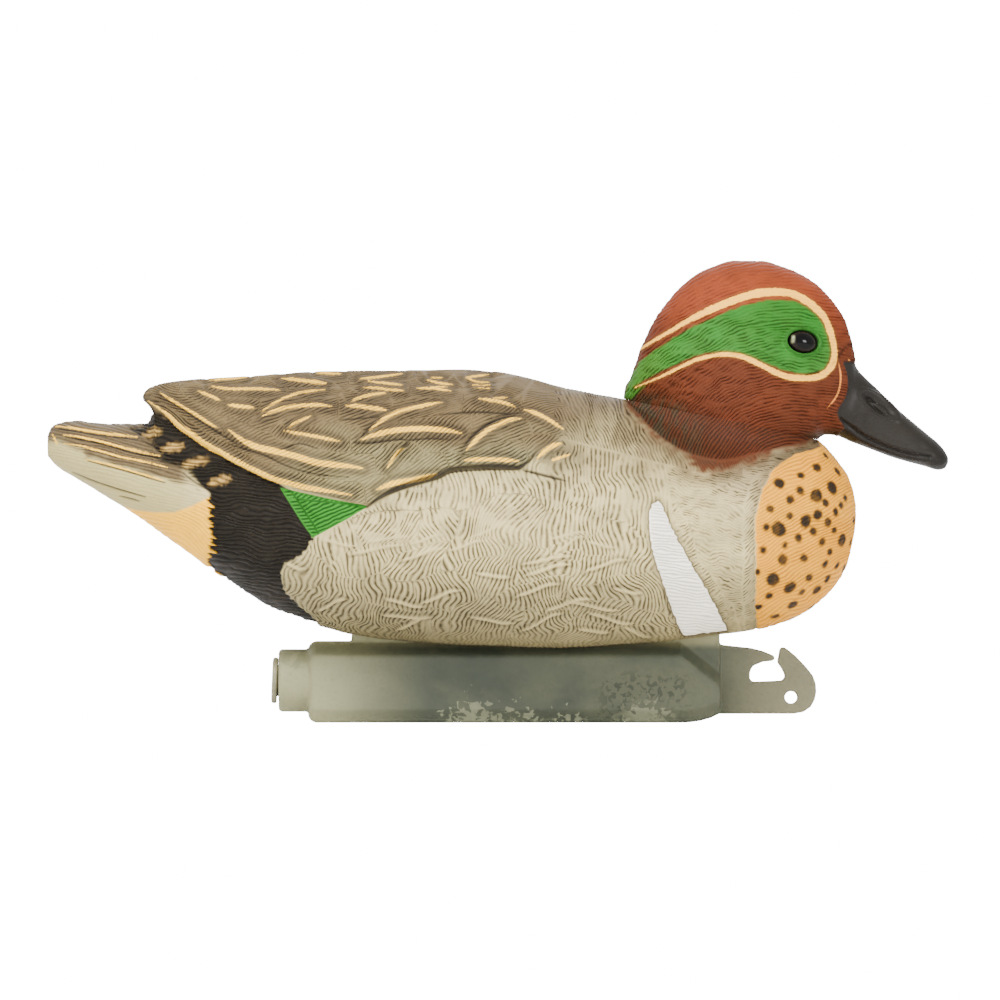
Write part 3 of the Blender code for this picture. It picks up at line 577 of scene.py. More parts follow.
def push_out(p, height, open_top):
    """Move grid points along their outward normals by height."""
    du = np.gradient(p, axis=0)
    dv = np.gradient(p, axis=1)
    n = np.cross(du, dv)
    n[:, 0, 1] = 0.0
    n[~open_top, -1, 1] = 0.0
    n /= np.linalg.norm(n, axis=2)[..., None] + 1e-9
    outward = np.sign(np.median(n[:, p.shape[1] // 2, 1]))
    moved = p - n * outward * height[..., None]
    moved[:, 0, 1] = 0.0
    moved[~open_top, -1, 1] = 0.0
    return moved


SHARP_ANGLE = math.radians(55.0)


def both_sides(name, p, open_top, colours, vectors):
    """A closed mesh from the right side's grid and its mirror image."""
    rows, cols = p.shape[:2]
    total = rows * cols
    right = np.arange(total).reshape(rows, cols)
    left = right + total
    left[:, 0] = right[:, 0]
    left[~open_top, -1] = right[~open_top, -1]
    quads = (
        (right[:-1, :-1], right[1:, :-1], right[1:, 1:], right[:-1, 1:]),
        (left[:-1, :-1], left[:-1, 1:], left[1:, 1:], left[1:, :-1]),
    )
    faces = np.concatenate([np.stack(q, -1).reshape(-1, 4) for q in quads])
    joint = np.nonzero(open_top[:-1] & open_top[1:])[0]
    deck = [right[joint, -1], right[joint + 1, -1], left[joint + 1, -1], left[joint, -1]]
    faces = np.concatenate([faces, np.stack(deck, -1)])
    used, index = np.unique(faces, return_inverse=True)
    faces = index.reshape(faces.shape)
    points = np.concatenate([p.reshape(-1, 3), p.reshape(-1, 3) * [1, -1, 1]])[used] * MM
    mesh = bpy.data.meshes.new(name)
    mesh.vertices.add(len(points))
    mesh.vertices.foreach_set("co", points.ravel().astype(np.float32))
    mesh.loops.add(faces.size)
    mesh.loops.foreach_set("vertex_index", faces.ravel().astype(np.int32))
    mesh.polygons.add(len(faces))
    mesh.polygons.foreach_set("loop_start", np.arange(0, faces.size, 4, dtype=np.int32))
    smooth_faces(mesh)
    mesh.update(calc_edges=True)
    for key, values in vectors.items():
        flat = np.stack(values, -1).reshape(-1, 3)
        both = np.concatenate([flat, flat])[used].astype(np.float32)
        mesh.attributes.new(key, "FLOAT_VECTOR", "POINT").data.foreach_set("vector", both.ravel())
    rgba = np.ones((total, 4))
    rgba[:, :3] = np.clip(colours.reshape(-1, 3), 0, 1)
    both = np.concatenate([rgba, rgba])[used].astype(np.float32)
    mesh.attributes.new("coat", "FLOAT_COLOR", "POINT").data.foreach_set("color", both.ravel())
    close_ends(mesh)
    mesh.set_sharp_from_angle(angle=SHARP_ANGLE)
    return show(name, mesh)


def close_ends(mesh):
    bm = bmesh.new()
    bm.from_mesh(mesh)
    edges = [e for e in bm.edges if e.is_boundary]
    bmesh.ops.holes_fill(bm, edges=edges, sides=0)
    bmesh.ops.recalc_face_normals(bm, faces=bm.faces)
    bm.to_mesh(mesh)
    bm.free()


# --------------------------------------------------------------- body surface
FLANK_LIGHT = paint(221, 212, 188)
FLANK_DEEP = paint(186, 176, 150)
BACK_BROWN = paint(160, 140, 109)
WING_GREY = paint(188, 179, 148)
BLACK = paint(40, 33, 22)
YELLOW = np.array([0.95, 0.47, 0.003])
YELLOW_DEEP = np.array([0.88, 0.40, 0.002])
TAIL_BROWN = paint(150, 130, 102)
TAIL_GREY_PAINT = paint(212, 203, 174)
CHESTNUT = paint(138, 82, 54)
CHEST_GREY = paint(208, 196, 174)
SHOULDER_TINT = paint(192, 190, 166)

BODY_STATIONS = 690
NOTCH_STATIONS = 40
BODY_COUNT = 370

# Flank feathers, in rows that rise from the keel.
RIDGE_ROWS = 6
RIDGE_COLUMNS = 7
RIDGE_END_X = 53
RIDGE_GAPS = 0.18
RIDGE_HALF = 0.60
RIDGE_STEPS = (0.0, 0.08, 0.22, 0.45, 0.72, 1.0)
SPOT_SCALE = 2.10

# Distance from one carved feather line to the next.
PITCH = {
    "flank": 1.72, "chest": 1.2, "rim": 1.15, "neck": 1.05, "barb": 1.1, "quill": 1.15,
    "under_tail": 1.5, "rump": 1.4, "fan_top": 1.25, "fan": 1.2, "patch": 1.1, "head": 1.12,
}


def body_grid():
    t = np.linspace(0, 1, BODY_STATIONS)
    x = TAIL_X + (BREAST_X - TAIL_X) * (t * 0.94 + 0.06 * (1 - np.cos(math.pi * t)) / 2)
    notch = (x > TAIL_NOTCH[0]) & (x < TAIL_NOTCH[1])
    x = np.sort(np.concatenate([x[~notch], np.linspace(*TAIL_NOTCH, NOTCH_STATIONS)]))
    return half_skin(x, belly_z(x), body_top(x), body_half, BODY_COUNT), in_neck(x)


def flank_ridges():
    """Fine raised rims of the flank feathers; most rise toward the breast."""
    rng = np.random.default_rng(23)
    strokes = []
    for row in range(RIDGE_ROWS):
        for col in range(RIDGE_COLUMNS):
            x = -74.0 + 19.5 * col + 9.0 * (row % 2) + rng.uniform(-5.0, 5.0)
            z = 32.5 + 6.0 * row + rng.uniform(-2.5, 2.5)
            run = rng.uniform(9.0, 19.0)
            rise = rng.uniform(1.5, 8.0) * rng.choice([1.0, 1.0, 1.0, -0.5])
            bow = rng.uniform(0.40, 0.70)
            if x + run > RIDGE_END_X or rng.random() < RIDGE_GAPS:
                continue
            arc = [(a, a ** bow - 0.12 * math.sin(2 * math.pi * a)) for a in RIDGE_STEPS]
            strokes.append((RIDGE_HALF, [(x + run * a, z + rise * c) for a, c in arc]))
    return strokes


def plant(state, field, phase, depth, wash):
    """Other grooves inside a zone; both kinds die away at its rim."""
    inside = field < 0
    calm = step(0.05, 0.7, np.abs(field))
    state[0] = np.where(inside, phase, state[0])
    state[1] = np.where(inside, depth, state[1]) * calm
    state[2] = np.where(inside, wash, state[2]) * calm


def spot_field(x, y, z):
    """Distance outside the nearest breast spot."""
    spots = np.full(x.shape, 5.0)
    for k, (sx, sz, r) in enumerate(SPOTS):
        near = np.argmin((x - sx) ** 2 + (z - sz) ** 2)
        dy = np.abs(y) - abs(y.flat[near])
        turn = 0.9 * math.sin(7.3 * k)
        dx = (x - sx) * math.cos(turn) + (z - sz) * math.sin(turn)
        dz = (z - sz) * math.cos(turn) - (x - sx) * math.sin(turn)
        away = np.sqrt((dx / 1.05) ** 2 + (dz / 0.92) ** 2 + (0.8 * dy) ** 2)
        spots = np.minimum(spots, away - (SPOT_SCALE + 0.15 * math.sin(3.1 * k)) * r)
    return spots + 0.25 * noise(x / 0.9, z / 0.9, 14)


def body_fields(p):
    """Zones, strokes and the groove pattern at every grid point."""
    x, y, z = p[..., 0], p[..., 1], p[..., 2]
    f = {"x": x, "y": y, "z": z, "v": arc_height(p)}
    wob = 0.5 * noise(x / 2.2, z / 2.2, 5)
    f["wing"] = zone_field(x, z, rounded(BROWN + BROWN[:1], 3)[:-1])
    slope = z + 0.45 * x
    jag = 1.0 * noise(x / 9.0, slope / 1.6, 8) + 1.9 * noise(x / 8.0, slope / 0.62, 9)
    rear = step(-88.0, -96.0, x) * step(80.0, 76.0, z)
    f["black"] = zone_field(x, z, BLACK_ZONE) + jag * rear + 1.2 * wob * step(80.0, 84.0, z)
    behind = zone_field(x, z, REAR_FLANK) + 0.5 * noise(x / 1.1, z / 0.9, 10)
    f["black"] = np.maximum(f["black"], -behind)
    f["yellow"] = zone_field(x, z, YELLOW_ZONE)
    f["tail_grey"] = zone_field(x, z, TAIL_GREY) + wob
    f["green"] = zone_field(x, z, GREEN)
    f["crescent"] = zone_field(x, z, CRESCENT) + 0.3 * noise(x / 1.5, z / 1.0, 12)
    f["patch"] = zone_field(x, z, BREAST_PATCH) + 0.35 * noise(x / 2.0, z / 1.3, 13)
    f["collar"] = zone_field(x, z, COLLAR)
    f["head_edge"] = zone_field(x, z, HEAD_EDGE + [(110.0, 106.0), (44.0, 116.0)])
    f["cream"], f["owner"], f["lead"] = stroke_field(x, z, CREAM, 12.0)
    f["dark"] = stroke_field(x, z, SHADOW_LINES)[0]
    ridges = flank_ridges()
    f["ridge"], at, lead = stroke_field(x, z, ridges, 9.0)
    height = np.array([points[2][1] for _, points in ridges] + [60.0])
    lean = np.array([0.62 * math.sin(3.7 * k) - 0.1 for k in range(len(ridges))] + [0.0])
    f["lean"] = lean[at] * (z - height[at])
    f["cell"] = np.where(at < 0, 1.0, step(0.0, 0.45, lead))
    f["bars"] = stroke_field(x, z, BARS)[0]
    f["spots"] = spot_field(x, y, z)
    return f


def body_lines(f):
    """Groove phase, relief depth and dark wash for each zone."""
    x, v, z = f["x"], f["v"], f["z"]
    warp = 2.6 * noise(x / 12, v / 11, 21) + 0.9 * noise(x / 5.0, v / 4.5, 22)
    sway = 0.7 * np.sin(v / 3.3 + 2.0 * noise(x / 12, v / 12, 23))
    flank = (x + warp + f["lean"] + sway) / PITCH["flank"]
    low = step(76.0, 56.0, z + 4.0 * noise(x / 13, v / 13, 20) + 0.18 * np.abs(x))
    breaks = 0.5 + 0.5 * noise(x / 1.9, v / (2.4 + 2.2 * low), 24)
    patchy = step(-0.7, 0.3, noise(x / 14, v / 8, 25) + 0.6 * low)
    depth = (0.35 + 0.65 * step(0.15, 0.5, breaks)) * (0.70 + 0.30 * low)
    wash = 0.18 + 0.70 * low + (0.82 - 0.70 * low) * step(0.30, 0.48, breaks)
    wash = wash * (0.72 + 0.28 * patchy)
    dusk = 0.35 * bump(z - (81.0 - 0.36 * (x + 4.0)), 7.0)
    dusk = dusk * step(-12.0, 0.0, x) * step(44.0, 34.0, x)
    smudge = 0.5 * bump(np.hypot(x - 20.0, 1.3 * (z - 36.0)), 5.0)
    wash = np.minimum(wash + dusk + smudge, 1.0)
    by_ridge = (0.15 + 0.85 * step(-0.4, 0.2, f["ridge"])) * (0.35 + 0.65 * f["cell"])
    s = [flank, depth * by_ridge, wash * by_ridge]

    front = 60.0 - (x + 0.15 * (z - 70))
    chest = wavy(x * 0.35 + v, x, v, (1.6, 6, 5, 27), (0.4, 2, 2, 26)) / PITCH["chest"]
    dashes = step(0.45, 0.75, 0.5 + 0.5 * noise(x / 2.0, v / 1.2, 57))
    upper = step(78.0, 88.0, z)
    murky = step(0.0, 0.8, noise(x / 7.0, z / 9.0, 55) + step(62.0, 40.0, z))
    hatch = 0.22 + 0.20 * murky + dashes * (0.35 + 0.43 * np.maximum(upper, murky))
    plant(s, front, chest, 0.45 + 0.50 * dashes, hatch)
    rim = np.minimum(f["patch"] - 4.5, f["crescent"] - 4.0 - 2.0 * noise(x / 5, z / 5, 70))
    rim = np.maximum(rim, z - 84.0)
    rim_phase = wavy(x * 0.55 - v * 0.80, x, v, (1.2, 4, 4, 71)) / PITCH["rim"]
    nicks = step(0.35, 0.70, 0.5 + 0.5 * noise(x / 1.5, v / 1.5, 72))
    plant(s, np.maximum(rim, front), rim_phase, 0.45 + 0.5 * nicks, 0.25 + 0.65 * nicks)

    frayed = x + 5.0 * noise(x / 7.0, v / 4.0, 73)
    rise = (z - 96 + 0.25 * (x - 28)) * 0.9
    behind_neck = np.minimum(np.minimum(frayed - 21.0, 66.0 - x), rise)
    neck = wavy(x * 0.90 + z * 0.42, x, z, (1.3, 6, 7, 28), (0.3, 2, 2, 58)) / PITCH["neck"]
    streaks = step(0.25, 0.75, 0.5 + 0.5 * noise(x / 1.6, z / 4.5, 29))
    plant(s, -behind_neck, neck, 0.45 + 0.5 * streaks, 0.50 + 0.50 * streaks)

    wing = f["wing"]
    mid = np.array([np.mean(points, axis=0) for _, points in CREAM] + [(0.0, 100.0)])
    tone = np.array([math.sin(5.1 * k) for k in range(len(CREAM) + 1)])
    owner = f["owner"]
    slant = math.radians(33.0) + 0.22 * tone[owner]
    slant = slant * (0.45 + 0.55 * step(124.0, 102.0, z)) - 0.6 * step(-100.0, -114.0, x)
    ledge = np.argmin(np.abs(z - TAIL_TOP_Z) + 200.0 * (v < 0), axis=1)
    over = v - z
    over = np.maximum(over - over[np.arange(len(over)), ledge][:, None], 0)
    du = x - mid[owner, 0]
    dv = z - mid[owner, 1] + 0.5 * over
    barbs = (dv * np.cos(slant) - du * np.sin(slant)) / PITCH["barb"]
    barbs = barbs + 0.3 * noise(x / 4, v / 4, 32)
    calm = step(0.0, 0.7, f["lead"])
    tuft = step(-0.55, 0.30, noise(x / 8, v / 5, 33))
    bare = step(0.0, 14.0, x) * step(96.0, 102.0, z)
    barb_depth = (0.60 + 0.40 * tuft) * calm * (1 - 0.35 * bare)
    barb_wash = (0.50 + 0.50 * tuft) * calm * (1 - 0.25 * bare)
    plant(s, np.maximum(wing, frayed - 22.0), barbs, barb_depth, barb_wash)

    tail = np.maximum(x + 96.0, -wing)
    quill = wavy(z + 0.235 * (x + 150), x, z, (0.7, 9, 3, 37)) / PITCH["quill"]
    plant(s, tail, quill, 0.55, 0.55)
    grey = f["tail_grey"]
    plant(s, grey, quill, 0.20, 0.14)
    under = wavy(z + 0.50 * x, x, z, (2.2, 12, 6, 38)) + 0.012 * (x + 110) ** 2
    plant(s, np.maximum(f["yellow"], -grey), under / PITCH["under_tail"], 0.45, 0.22)
    rump = wavy(z + 0.10 * x, x, z, (1.5, 8, 5, 35), (0.4, 2.5, 1.6, 36)) / PITCH["rump"]
    plant(s, np.maximum(f["black"], -wing), rump, 0.9, 0.85)

    split = z - (77.4 - 0.09 * (x + 75))
    edge = (x + 75.3) * 0.83 + (z - 81.1) * 0.55 - 2.6
    fan_top = wavy(z * 0.80 - x * 0.55, x, z, (0.25, 2, 2, 19)) / PITCH["fan_top"]
    fan_low = wavy(z * 0.85 - x * 0.38, x, z, (0.25, 2, 2, 19)) / PITCH["fan"]
    fan_side = (z * 0.95 - x * 0.10) / PITCH["fan"]
    fan = np.where(edge < 0, fan_side, np.where(split > 0, fan_top, fan_low))
    calm = step(0.0, 0.5, np.abs(split)) * step(0.0, 0.5, np.abs(edge))
    f["vane"] = np.minimum(np.where(edge > 0, np.abs(split), 9.0), np.abs(edge)) - 0.25
    plant(s, np.maximum(f["green"], -wing), fan, 0.9 * calm, 0.95 * calm)

    ochre = wavy(z * 0.88 - x * 0.47, x, z, (1.2, 7, 7, 39), (0.2, 2, 2, 18)) / PITCH["patch"]
    plant(s, f["patch"], ochre, 0.45 + 0.25 * tuft, 0.40)
    ribs = wavy(z + 0.10 * x, x, z, (0.5, 4, 2, 40)) / PITCH["patch"]
    plant(s, f["crescent"], ribs, 0.9, 0.35)
    plant(s, f["collar"], neck, 0.25, 0.35)
    plant(s, np.maximum(f["head_edge"], f["collar"] - 1.0), cheek_phase(x, z), 0.8, 0.8)
    s[1] = s[1] * (1 - 0.6 * step(34.0, 28.0, z))
    s[2] = s[2] * (1 - 0.5 * step(33.0, 27.5, z))
    return s[0], np.clip(s[1], 0, 1), np.clip(s[2], 0, 1)


def body_relief(f, phase, depth):
    """Height of the carving over the plain form, in millimetres."""
    x, v, z, y = f["x"], f["v"], f["z"], f["y"]
    h = -0.30 * carved(phase) * depth
    wing = step(0.4, -0.4, f["wing"])
    h += 1.15 * wing * step(121.0, 108.0, z) * step(24.0, 12.0, x)
    h -= 0.60 * bump(f["wing"] - 0.9, 1.1) * step(26, 14, x)
    h += 0.32 * bump(f["cream"] + 0.2, 0.8) * (x > -118)
    h -= 0.30 * bump(f["cream"] - 1.5, 0.8) * wing
    h -= 0.50 * step(0.5, -0.3, f["dark"])
    h -= 0.9 * step(0.8, -0.8, f["black"]) * step(-50, -62, x) * (1 - wing)
    flank = step(66.0, 60.0, z) * step(57.0, 53.0, x) * step(-78, -74, x) * (1 - wing)
    h += 0.42 * step(0.35, -0.65, f["ridge"]) * flank
    h -= 0.14 * bump(f["ridge"] - 0.8, 0.5) * flank
    h += 0.35 * step(0.3, -1.2, f["patch"])
    h -= 0.35 * bump(f["patch"] - 0.3, 0.5)
    h -= 0.40 * bump(f["crescent"] - 0.2, 0.45)
    h += 0.30 * step(0.3, -0.6, f["crescent"])
    neck = step(0.0, 2.5, seam_z(x) - z)
    h += 0.50 * step(0.3, -0.5, f["head_edge"]) * (f["collar"] < 2.0) * neck
    h += 0.35 * rough_noise(x / 14.0, v / 14.0, 51)
    seam = step(-20.0, -40.0, x)
    h -= 1.3 * bump(y, 1.5) * seam * step(100, 112, z)
    lines = np.abs(y) % 9.0 - 4.5
    h -= 0.35 * bump(lines, 0.6) * seam * step(8.0, 20.0, np.abs(y)) * step(113, 117, z) * wing
    nape = 1 - step(35.0, 43.0, x) * step(104.0, 109.0, z)
    return h * np.where(in_neck(x), step(0.0, 0.7, seam_z(x) - z), nape)


def body_coat(f):
    """The sprayed colours, soft edges and stains, with painted shade towards the belly and
    painted highlights and shadows at the flank ridges; the shader adds the sharp ones.
    """
    x, v, z = f["x"], f["v"], f["z"]
    tone = rough_noise(x / 9.0, v / 6.0, 61)
    low = step(64.0, 58.0, z) * step(56.0, 50.0, x)
    stain = step(0.1, 0.8, rough_noise(x / 7, z / 9, 62) + 0.35 * bump(z - 96, 12))
    neck = step(6, 28, x) * step(76, 92, z)
    c = layered(
        FLANK_LIGHT,
        (0.35 * step(-0.2, 0.7, tone), FLANK_DEEP),
        (0.45 * step(-40, -80, x) * step(80, 50, z), paint(188, 180, 152)),
        # Painted shade: the lower body darker towards the belly.
        (0.5 * step(48.0, 30.0, z) * step(20, -30, x), paint(168, 158, 132)),
        (0.75 * step(66, 84, x) * step(60, 90, z), CHEST_GREY),
        # Painted shade: the lower chest darker towards the belly.
        (0.45 * step(54, 66, x) * step(62, 36, z), paint(158, 148, 118)),
        (0.45 * step(2.6, 0.2, f["crescent"]), paint(162, 148, 118)),
        # Painted shade: the lower flank darker towards the belly.
        (0.5 * step(60.0, 34.0, z) * step(66.0, 50.0, x), paint(164, 154, 126)),
        # Painted highlight on the raised flank ridges and, on the next line, a thin painted
        # shadow beside them.
        (0.55 * step(0.1, -0.6, f["ridge"]) * low, paint(222, 212, 186)),
        (0.40 * bump(f["ridge"] - 0.5, 0.4) * low * (z < 58), paint(122, 112, 86)),
        (0.85 * neck * (0.55 + 0.45 * stain), paint(146, 124, 96)),
        (0.25 * step(2.0, -2.0, f["wing"] - 4.0), WING_GREY),
    )
    rim = 0.4 + 6.0 * step(12.0, 24.0, x)
    wing = step(0.0, 1.0, (rim - f["wing"]) / (2 * rim))
    pale = step(104, 84, z + 6.0 * noise(x / 14, v / 8, 63)) * step(-86, -60, x)
    mantle = layered(
        BACK_BROWN,
        (0.75 * pale, WING_GREY),
        (0.35 * step(-30, 10, x) * step(98, 88, z), SHOULDER_TINT),
        (0.22 * step(0.0, 0.8, tone), paint(122, 104, 80)),
        (0.22 * step(0.0, -0.8, tone), paint(176, 158, 126)),
        (0.60 * step(-50.0, -90.0, x) * step(0.4, -0.6, tone), paint(176, 156, 122)),
        (0.55 * bump(f["cream"] - 1.3, 1.0), paint(112, 94, 70)),
        (0.35 * step(2, 30, x) * step(120, 100, z), paint(166, 148, 122)),
        (0.75 * step(-112.0, -121.0, x) * step(116, 108, z), paint(84, 70, 52)),
    )
    fringe = f["tail_grey"] + 0.8 * noise(x / 9.0, (z + 0.235 * x) / 0.8, 67)
    tail = layered(
        TAIL_BROWN,
        (0.35 * step(-0.3, 0.6, tone), paint(170, 152, 122)),
        (step(2.2, -0.8, fringe), TAIL_GREY_PAINT),
        (0.4 * step(-146, -152, x) * step(100, 94, z), TAIL_GREY_PAINT),
    )
    warm = layered(YELLOW, (0.5 * step(-0.1, 0.7, tone), YELLOW_DEEP))
    hairy = step(80.0, 86.0, z) * step(-98.0, -106.0, x)
    hairs = f["black"] + 1.6 * hairy * noise(x / 9.0, (z + 0.5 * x) / 0.8, 68)
    black = step(1.0, -1.0, hairs / (0.35 + 1.6 * hairy)) * (1 - wing)
    ink = layered(BLACK, (0.5 * step(0.0, 0.8, tone), paint(58, 49, 36)))
    rims = 0.85 * step(1.7, -0.8, f["bars"] + 0.6 * noise(x / 0.7, z / 1.6, 64))
    ragged = wavy(f["collar"], x, z, (1.2, 1.6, 1.2, 65), (1.3, 4.0, 3.0, 66))
    collar = step(2.4, -2.4, ragged) * step(4.0, 1.0, f["collar"])
    russet = layered(CHESTNUT, (0.6 * step(-0.3, 0.8, tone), paint(120, 86, 62)))
    throat = step(88, 104, x) * bump(f["collar"] - 1.5, 2.0) * (1 - collar)
    patch_rim = 0.35 * bump(f["patch"] - 1.0, 1.6) * step(0.0, 0.4, f["patch"])
    return layered(
        c,
        (wing, mantle),
        (step(-104, -110, x) * (1 - wing), tail),
        (step(0.5, -0.5, f["yellow"]) * (1 - wing), warm),
        (black, ink),
        (rims * black, paint(222, 200, 160)),
        (collar, russet),
        (0.5 * bump(f["collar"] - 1.6, 2.4) * (1 - collar) * (x < 84), paint(140, 112, 86)),
        (step(0.5, -0.7, f["head_edge"]) * (f["collar"] < 1.5), head_feathers(x, z)),
        (0.5 * throat, paint(110, 100, 82)),
        (patch_rim, paint(140, 122, 92)),
        # Painted shade along the bottom of the belly.
        (0.25 * step(34, 26, z), paint(120, 112, 92)),
    )


def body_skin():
    p, neck = body_grid()
    x, y, z = p[..., 0], p[..., 1], p[..., 2]
    f = body_fields(p)
    phase, depth, wash = body_lines(f)
    moved = push_out(p, body_relief(f, phase, depth), neck)
    top = np.clip((z - TAIL_TOP_Z) / 9.0, 0, 1)
    near_tip = step(-98.0, -112.0, x) * step(-126.0, -120.0, x)
    moved[..., 0] -= 3.5 * step(0, 1, top) * near_tip * step(-124.0, -119.5, x)
    moved[..., 0] += 9.0 * bump(y, 5.5) * step(106, 112, z) * near_tip
    edge = neck[:, None] & (np.arange(p.shape[1]) == p.shape[1] - 1)[None, :]
    limit = seam_z(moved[..., 0]) - SEAM_GAP / 2
    over = neck[:, None] & (moved[..., 2] > limit)
    moved[..., 2] = np.where(over | edge, limit, moved[..., 2])
    vectors = {
        "line": (phase, depth, wash),
        "zone_a": (f["cream"], f["dark"], f["crescent"]),
        "zone_b": (f["green"], f["patch"], f["spots"]),
        "zone_c": (f["vane"], f["ridge"], f["wing"]),
    }
    return both_sides("body_skin", moved, neck, body_coat(f), vectors)


# --------------------------------------------------------------- head surface
HEAD_STATIONS = 330
HEAD_COUNT = 230
CHEEK_SPINE = [
    (126.0, 106.0), (112.0, 108.5), (98.0, 109.0), (87.0, 106.0), (79.0, 99.5), (73.5, 91.0),
    (70.0, 80.0), (68.0, 70.0),
]
GREEN_SPINE = [
    (124.0, 137.0), (112.0, 137.5), (100.0, 139.0), (86.0, 137.0), (72.0, 130.5), (60.0, 122.5),
    (50.0, 113.0), (44.0, 104.0),
]
GAPE = [
    (117.6, 104.2), (121.0, 101.6), (126.5, 97.9), (133.5, 94.7), (141.0, 92.3), (148.5, 91.4),
]
NOSTRIL_HOLLOW = (131.2, 109.2, 6.6, 2.4, math.radians(-37.0))
NOSTRIL_BOSS = (131.8, 108.3, 3.6, 1.0, math.radians(-37.0))
NOSTRIL = [(127.0, 112.2), (128.9, 111.3), (130.9, 109.9)]
# Above this line (x, then z) the feathers follow the green band, below it the cheek.
GREEN_FOOT = ([44, 60, 75, 90, 104, 114, 120], [106, 116, 126, 128, 119, 122, 130])


def feather_phase(x, z, spine, pitch, *waves):
    """Grooves that run beside a spine line, as a phase."""
    near, side, _, _ = along_line(x, z, rounded(spine, 4))
    return wavy(near * side, x, z, *waves) / pitch


def cheek_phase(x, z):
    waves = (0.55, 4.5, 4.5, 71), (0.2, 1.8, 1.8, 72)
    return feather_phase(x, z, CHEEK_SPINE, PITCH["head"], *waves)


def green_phase(x, z):
    waves = (0.6, 4.5, 3.5, 73), (0.2, 1.8, 1.5, 74)
    return feather_phase(x, z, GREEN_SPINE, PITCH["head"], *waves)


def oval(x, z, cx, cz, long, short, tilt):
    """1 on the rim of a tilted oval, 0 at its centre."""
    u = (x - cx) * math.cos(tilt) + (z - cz) * math.sin(tilt)
    w = (z - cz) * math.cos(tilt) - (x - cx) * math.sin(tilt)
    return np.hypot(u / long, w / short)


def head_grid():
    t = np.linspace(0, 1, HEAD_STATIONS)
    x = CROWN_X + (BILL_X - CROWN_X) * (t * 0.85 + 0.15 * (1 - np.cos(math.pi * t)) / 2)
    neck = in_neck(x)
    low = np.where(neck, seam_z(x) + SEAM_GAP / 2, chin_z(x))
    return half_skin(x, low, crown_z(x), head_half, HEAD_COUNT), neck


def head_fields(p):
    """Zones, strokes and the eye and bill details at every grid point."""
    x, z = p[..., 0], p[..., 2]
    f = {"x": x, "z": z}
    near, _, along, total = along_line(x, z, rounded(HEAD_STRIPE, 4))
    s = along / total
    half = 0.42 + 0.66 * step(0.0, 0.22, s) * step(1.02, 0.55, s) + 0.22 * bump(s - 0.30, 0.12)
    half = half * (0.55 + 0.45 * step(1.0, 0.9, s)) * (1 + 0.10 * noise(s * 90, s * 0, 75))
    f["stripe"] = near - half
    f["green"] = zone_field(x, z, HEAD_GREEN) + 0.30 * noise(x / 1.4, z / 0.9, 76)
    edge = [(122.6, 124.6)] + BILL_EDGE[1:] + [(116.8, 98.6), (114.8, 94.0)]
    beyond = [(160.0, 80.0), (160.0, 124.6)]
    f["bill"] = zone_field(x, z, rounded(edge, 3).tolist() + beyond)
    f["cheek"] = stroke_field(x, z, [(0.28, CHEEK_LINE), (0.30, CHEEK_DAB)])[0]
    f["gape"] = stroke_field(x, z, [(0.28, GAPE)])[0]
    f["groove"] = oval(x, z, *NOSTRIL_HOLLOW) - 1
    f["boss"] = oval(x, z, *NOSTRIL_BOSS) - 1
    f["nostril"] = stroke_field(x, z, [(0.55, NOSTRIL)])[0]
    f["ring"] = oval(x, z, *EYE_CENTRE, EYE_SIZE[0], EYE_SIZE[1], EYE_TILT)
    return f


def head_lines(f):
    """Groove phase, relief depth and dark wash over the head."""
    x, z = f["x"], f["z"]
    phase = np.where(z > np.interp(x, *GREEN_FOOT), green_phase(x, z), cheek_phase(x, z))
    breaks = 0.5 + 0.5 * noise(x / 3.0, z / 1.3, 77)
    crown = step(138.0, 150.0, z)
    depth = (0.35 + 0.65 * step(0.2, 0.7, breaks)) * (1 - 0.45 * crown)
    wash = (0.25 + 0.75 * step(0.25, 0.8, breaks)) * (1 - 0.55 * crown)
    depth = depth * (1 - 0.7 * step(0.2, -0.2, f["stripe"]))
    for smooth_zone in (step(0.1, -0.1, f["bill"]), step(1.35, 1.05, f["ring"])):
        depth = depth * (1 - smooth_zone)
        wash = wash * (1 - smooth_zone)
    return phase, depth, wash


def head_relief(f, phase, depth):
    """Height of the carving over the plain form, in millimetres."""
    x, z = f["x"], f["z"]
    h = -0.24 * carved(phase) * depth
    bill = step(0.25, -0.25, f["bill"])
    h -= 0.50 * bill * step(-7.0, -1.5, f["bill"])
    h += 0.18 * bump(f["stripe"], 0.9) * (1 - bill)
    h += 0.75 * bump(f["ring"] - 1.13, 0.105)
    h -= 2.2 * step(1.04, 0.9, f["ring"])
    h -= 0.35 * bump(f["ring"] - 1.42, 0.13)
    h -= 0.55 * bump(f["gape"], 0.4)
    h += 0.22 * bump(f["gape"] - 1.3, 0.8) * bill
    h -= 1.15 * step(0.10, -0.40, f["groove"])
    h += 0.40 * bump(f["groove"] - 0.22, 0.16) * bill
    h += 0.80 * step(0.3, -0.5, f["boss"])
    h -= 0.75 * step(0.4, -0.4, f["nostril"])
    h += 0.5 * step(146.0, 156.0, z)
    h += 0.22 * rough_noise(x / 9.0, z / 9.0, 81) * (1 - bill)
    tip = step(148.5, 151.0, x) * step(1.2, 2.2, z - chin_z(x))
    h += 0.20 * tip
    return h * np.where(in_neck(x), step(0.0, 0.7, z - seam_z(x)), 1.0)


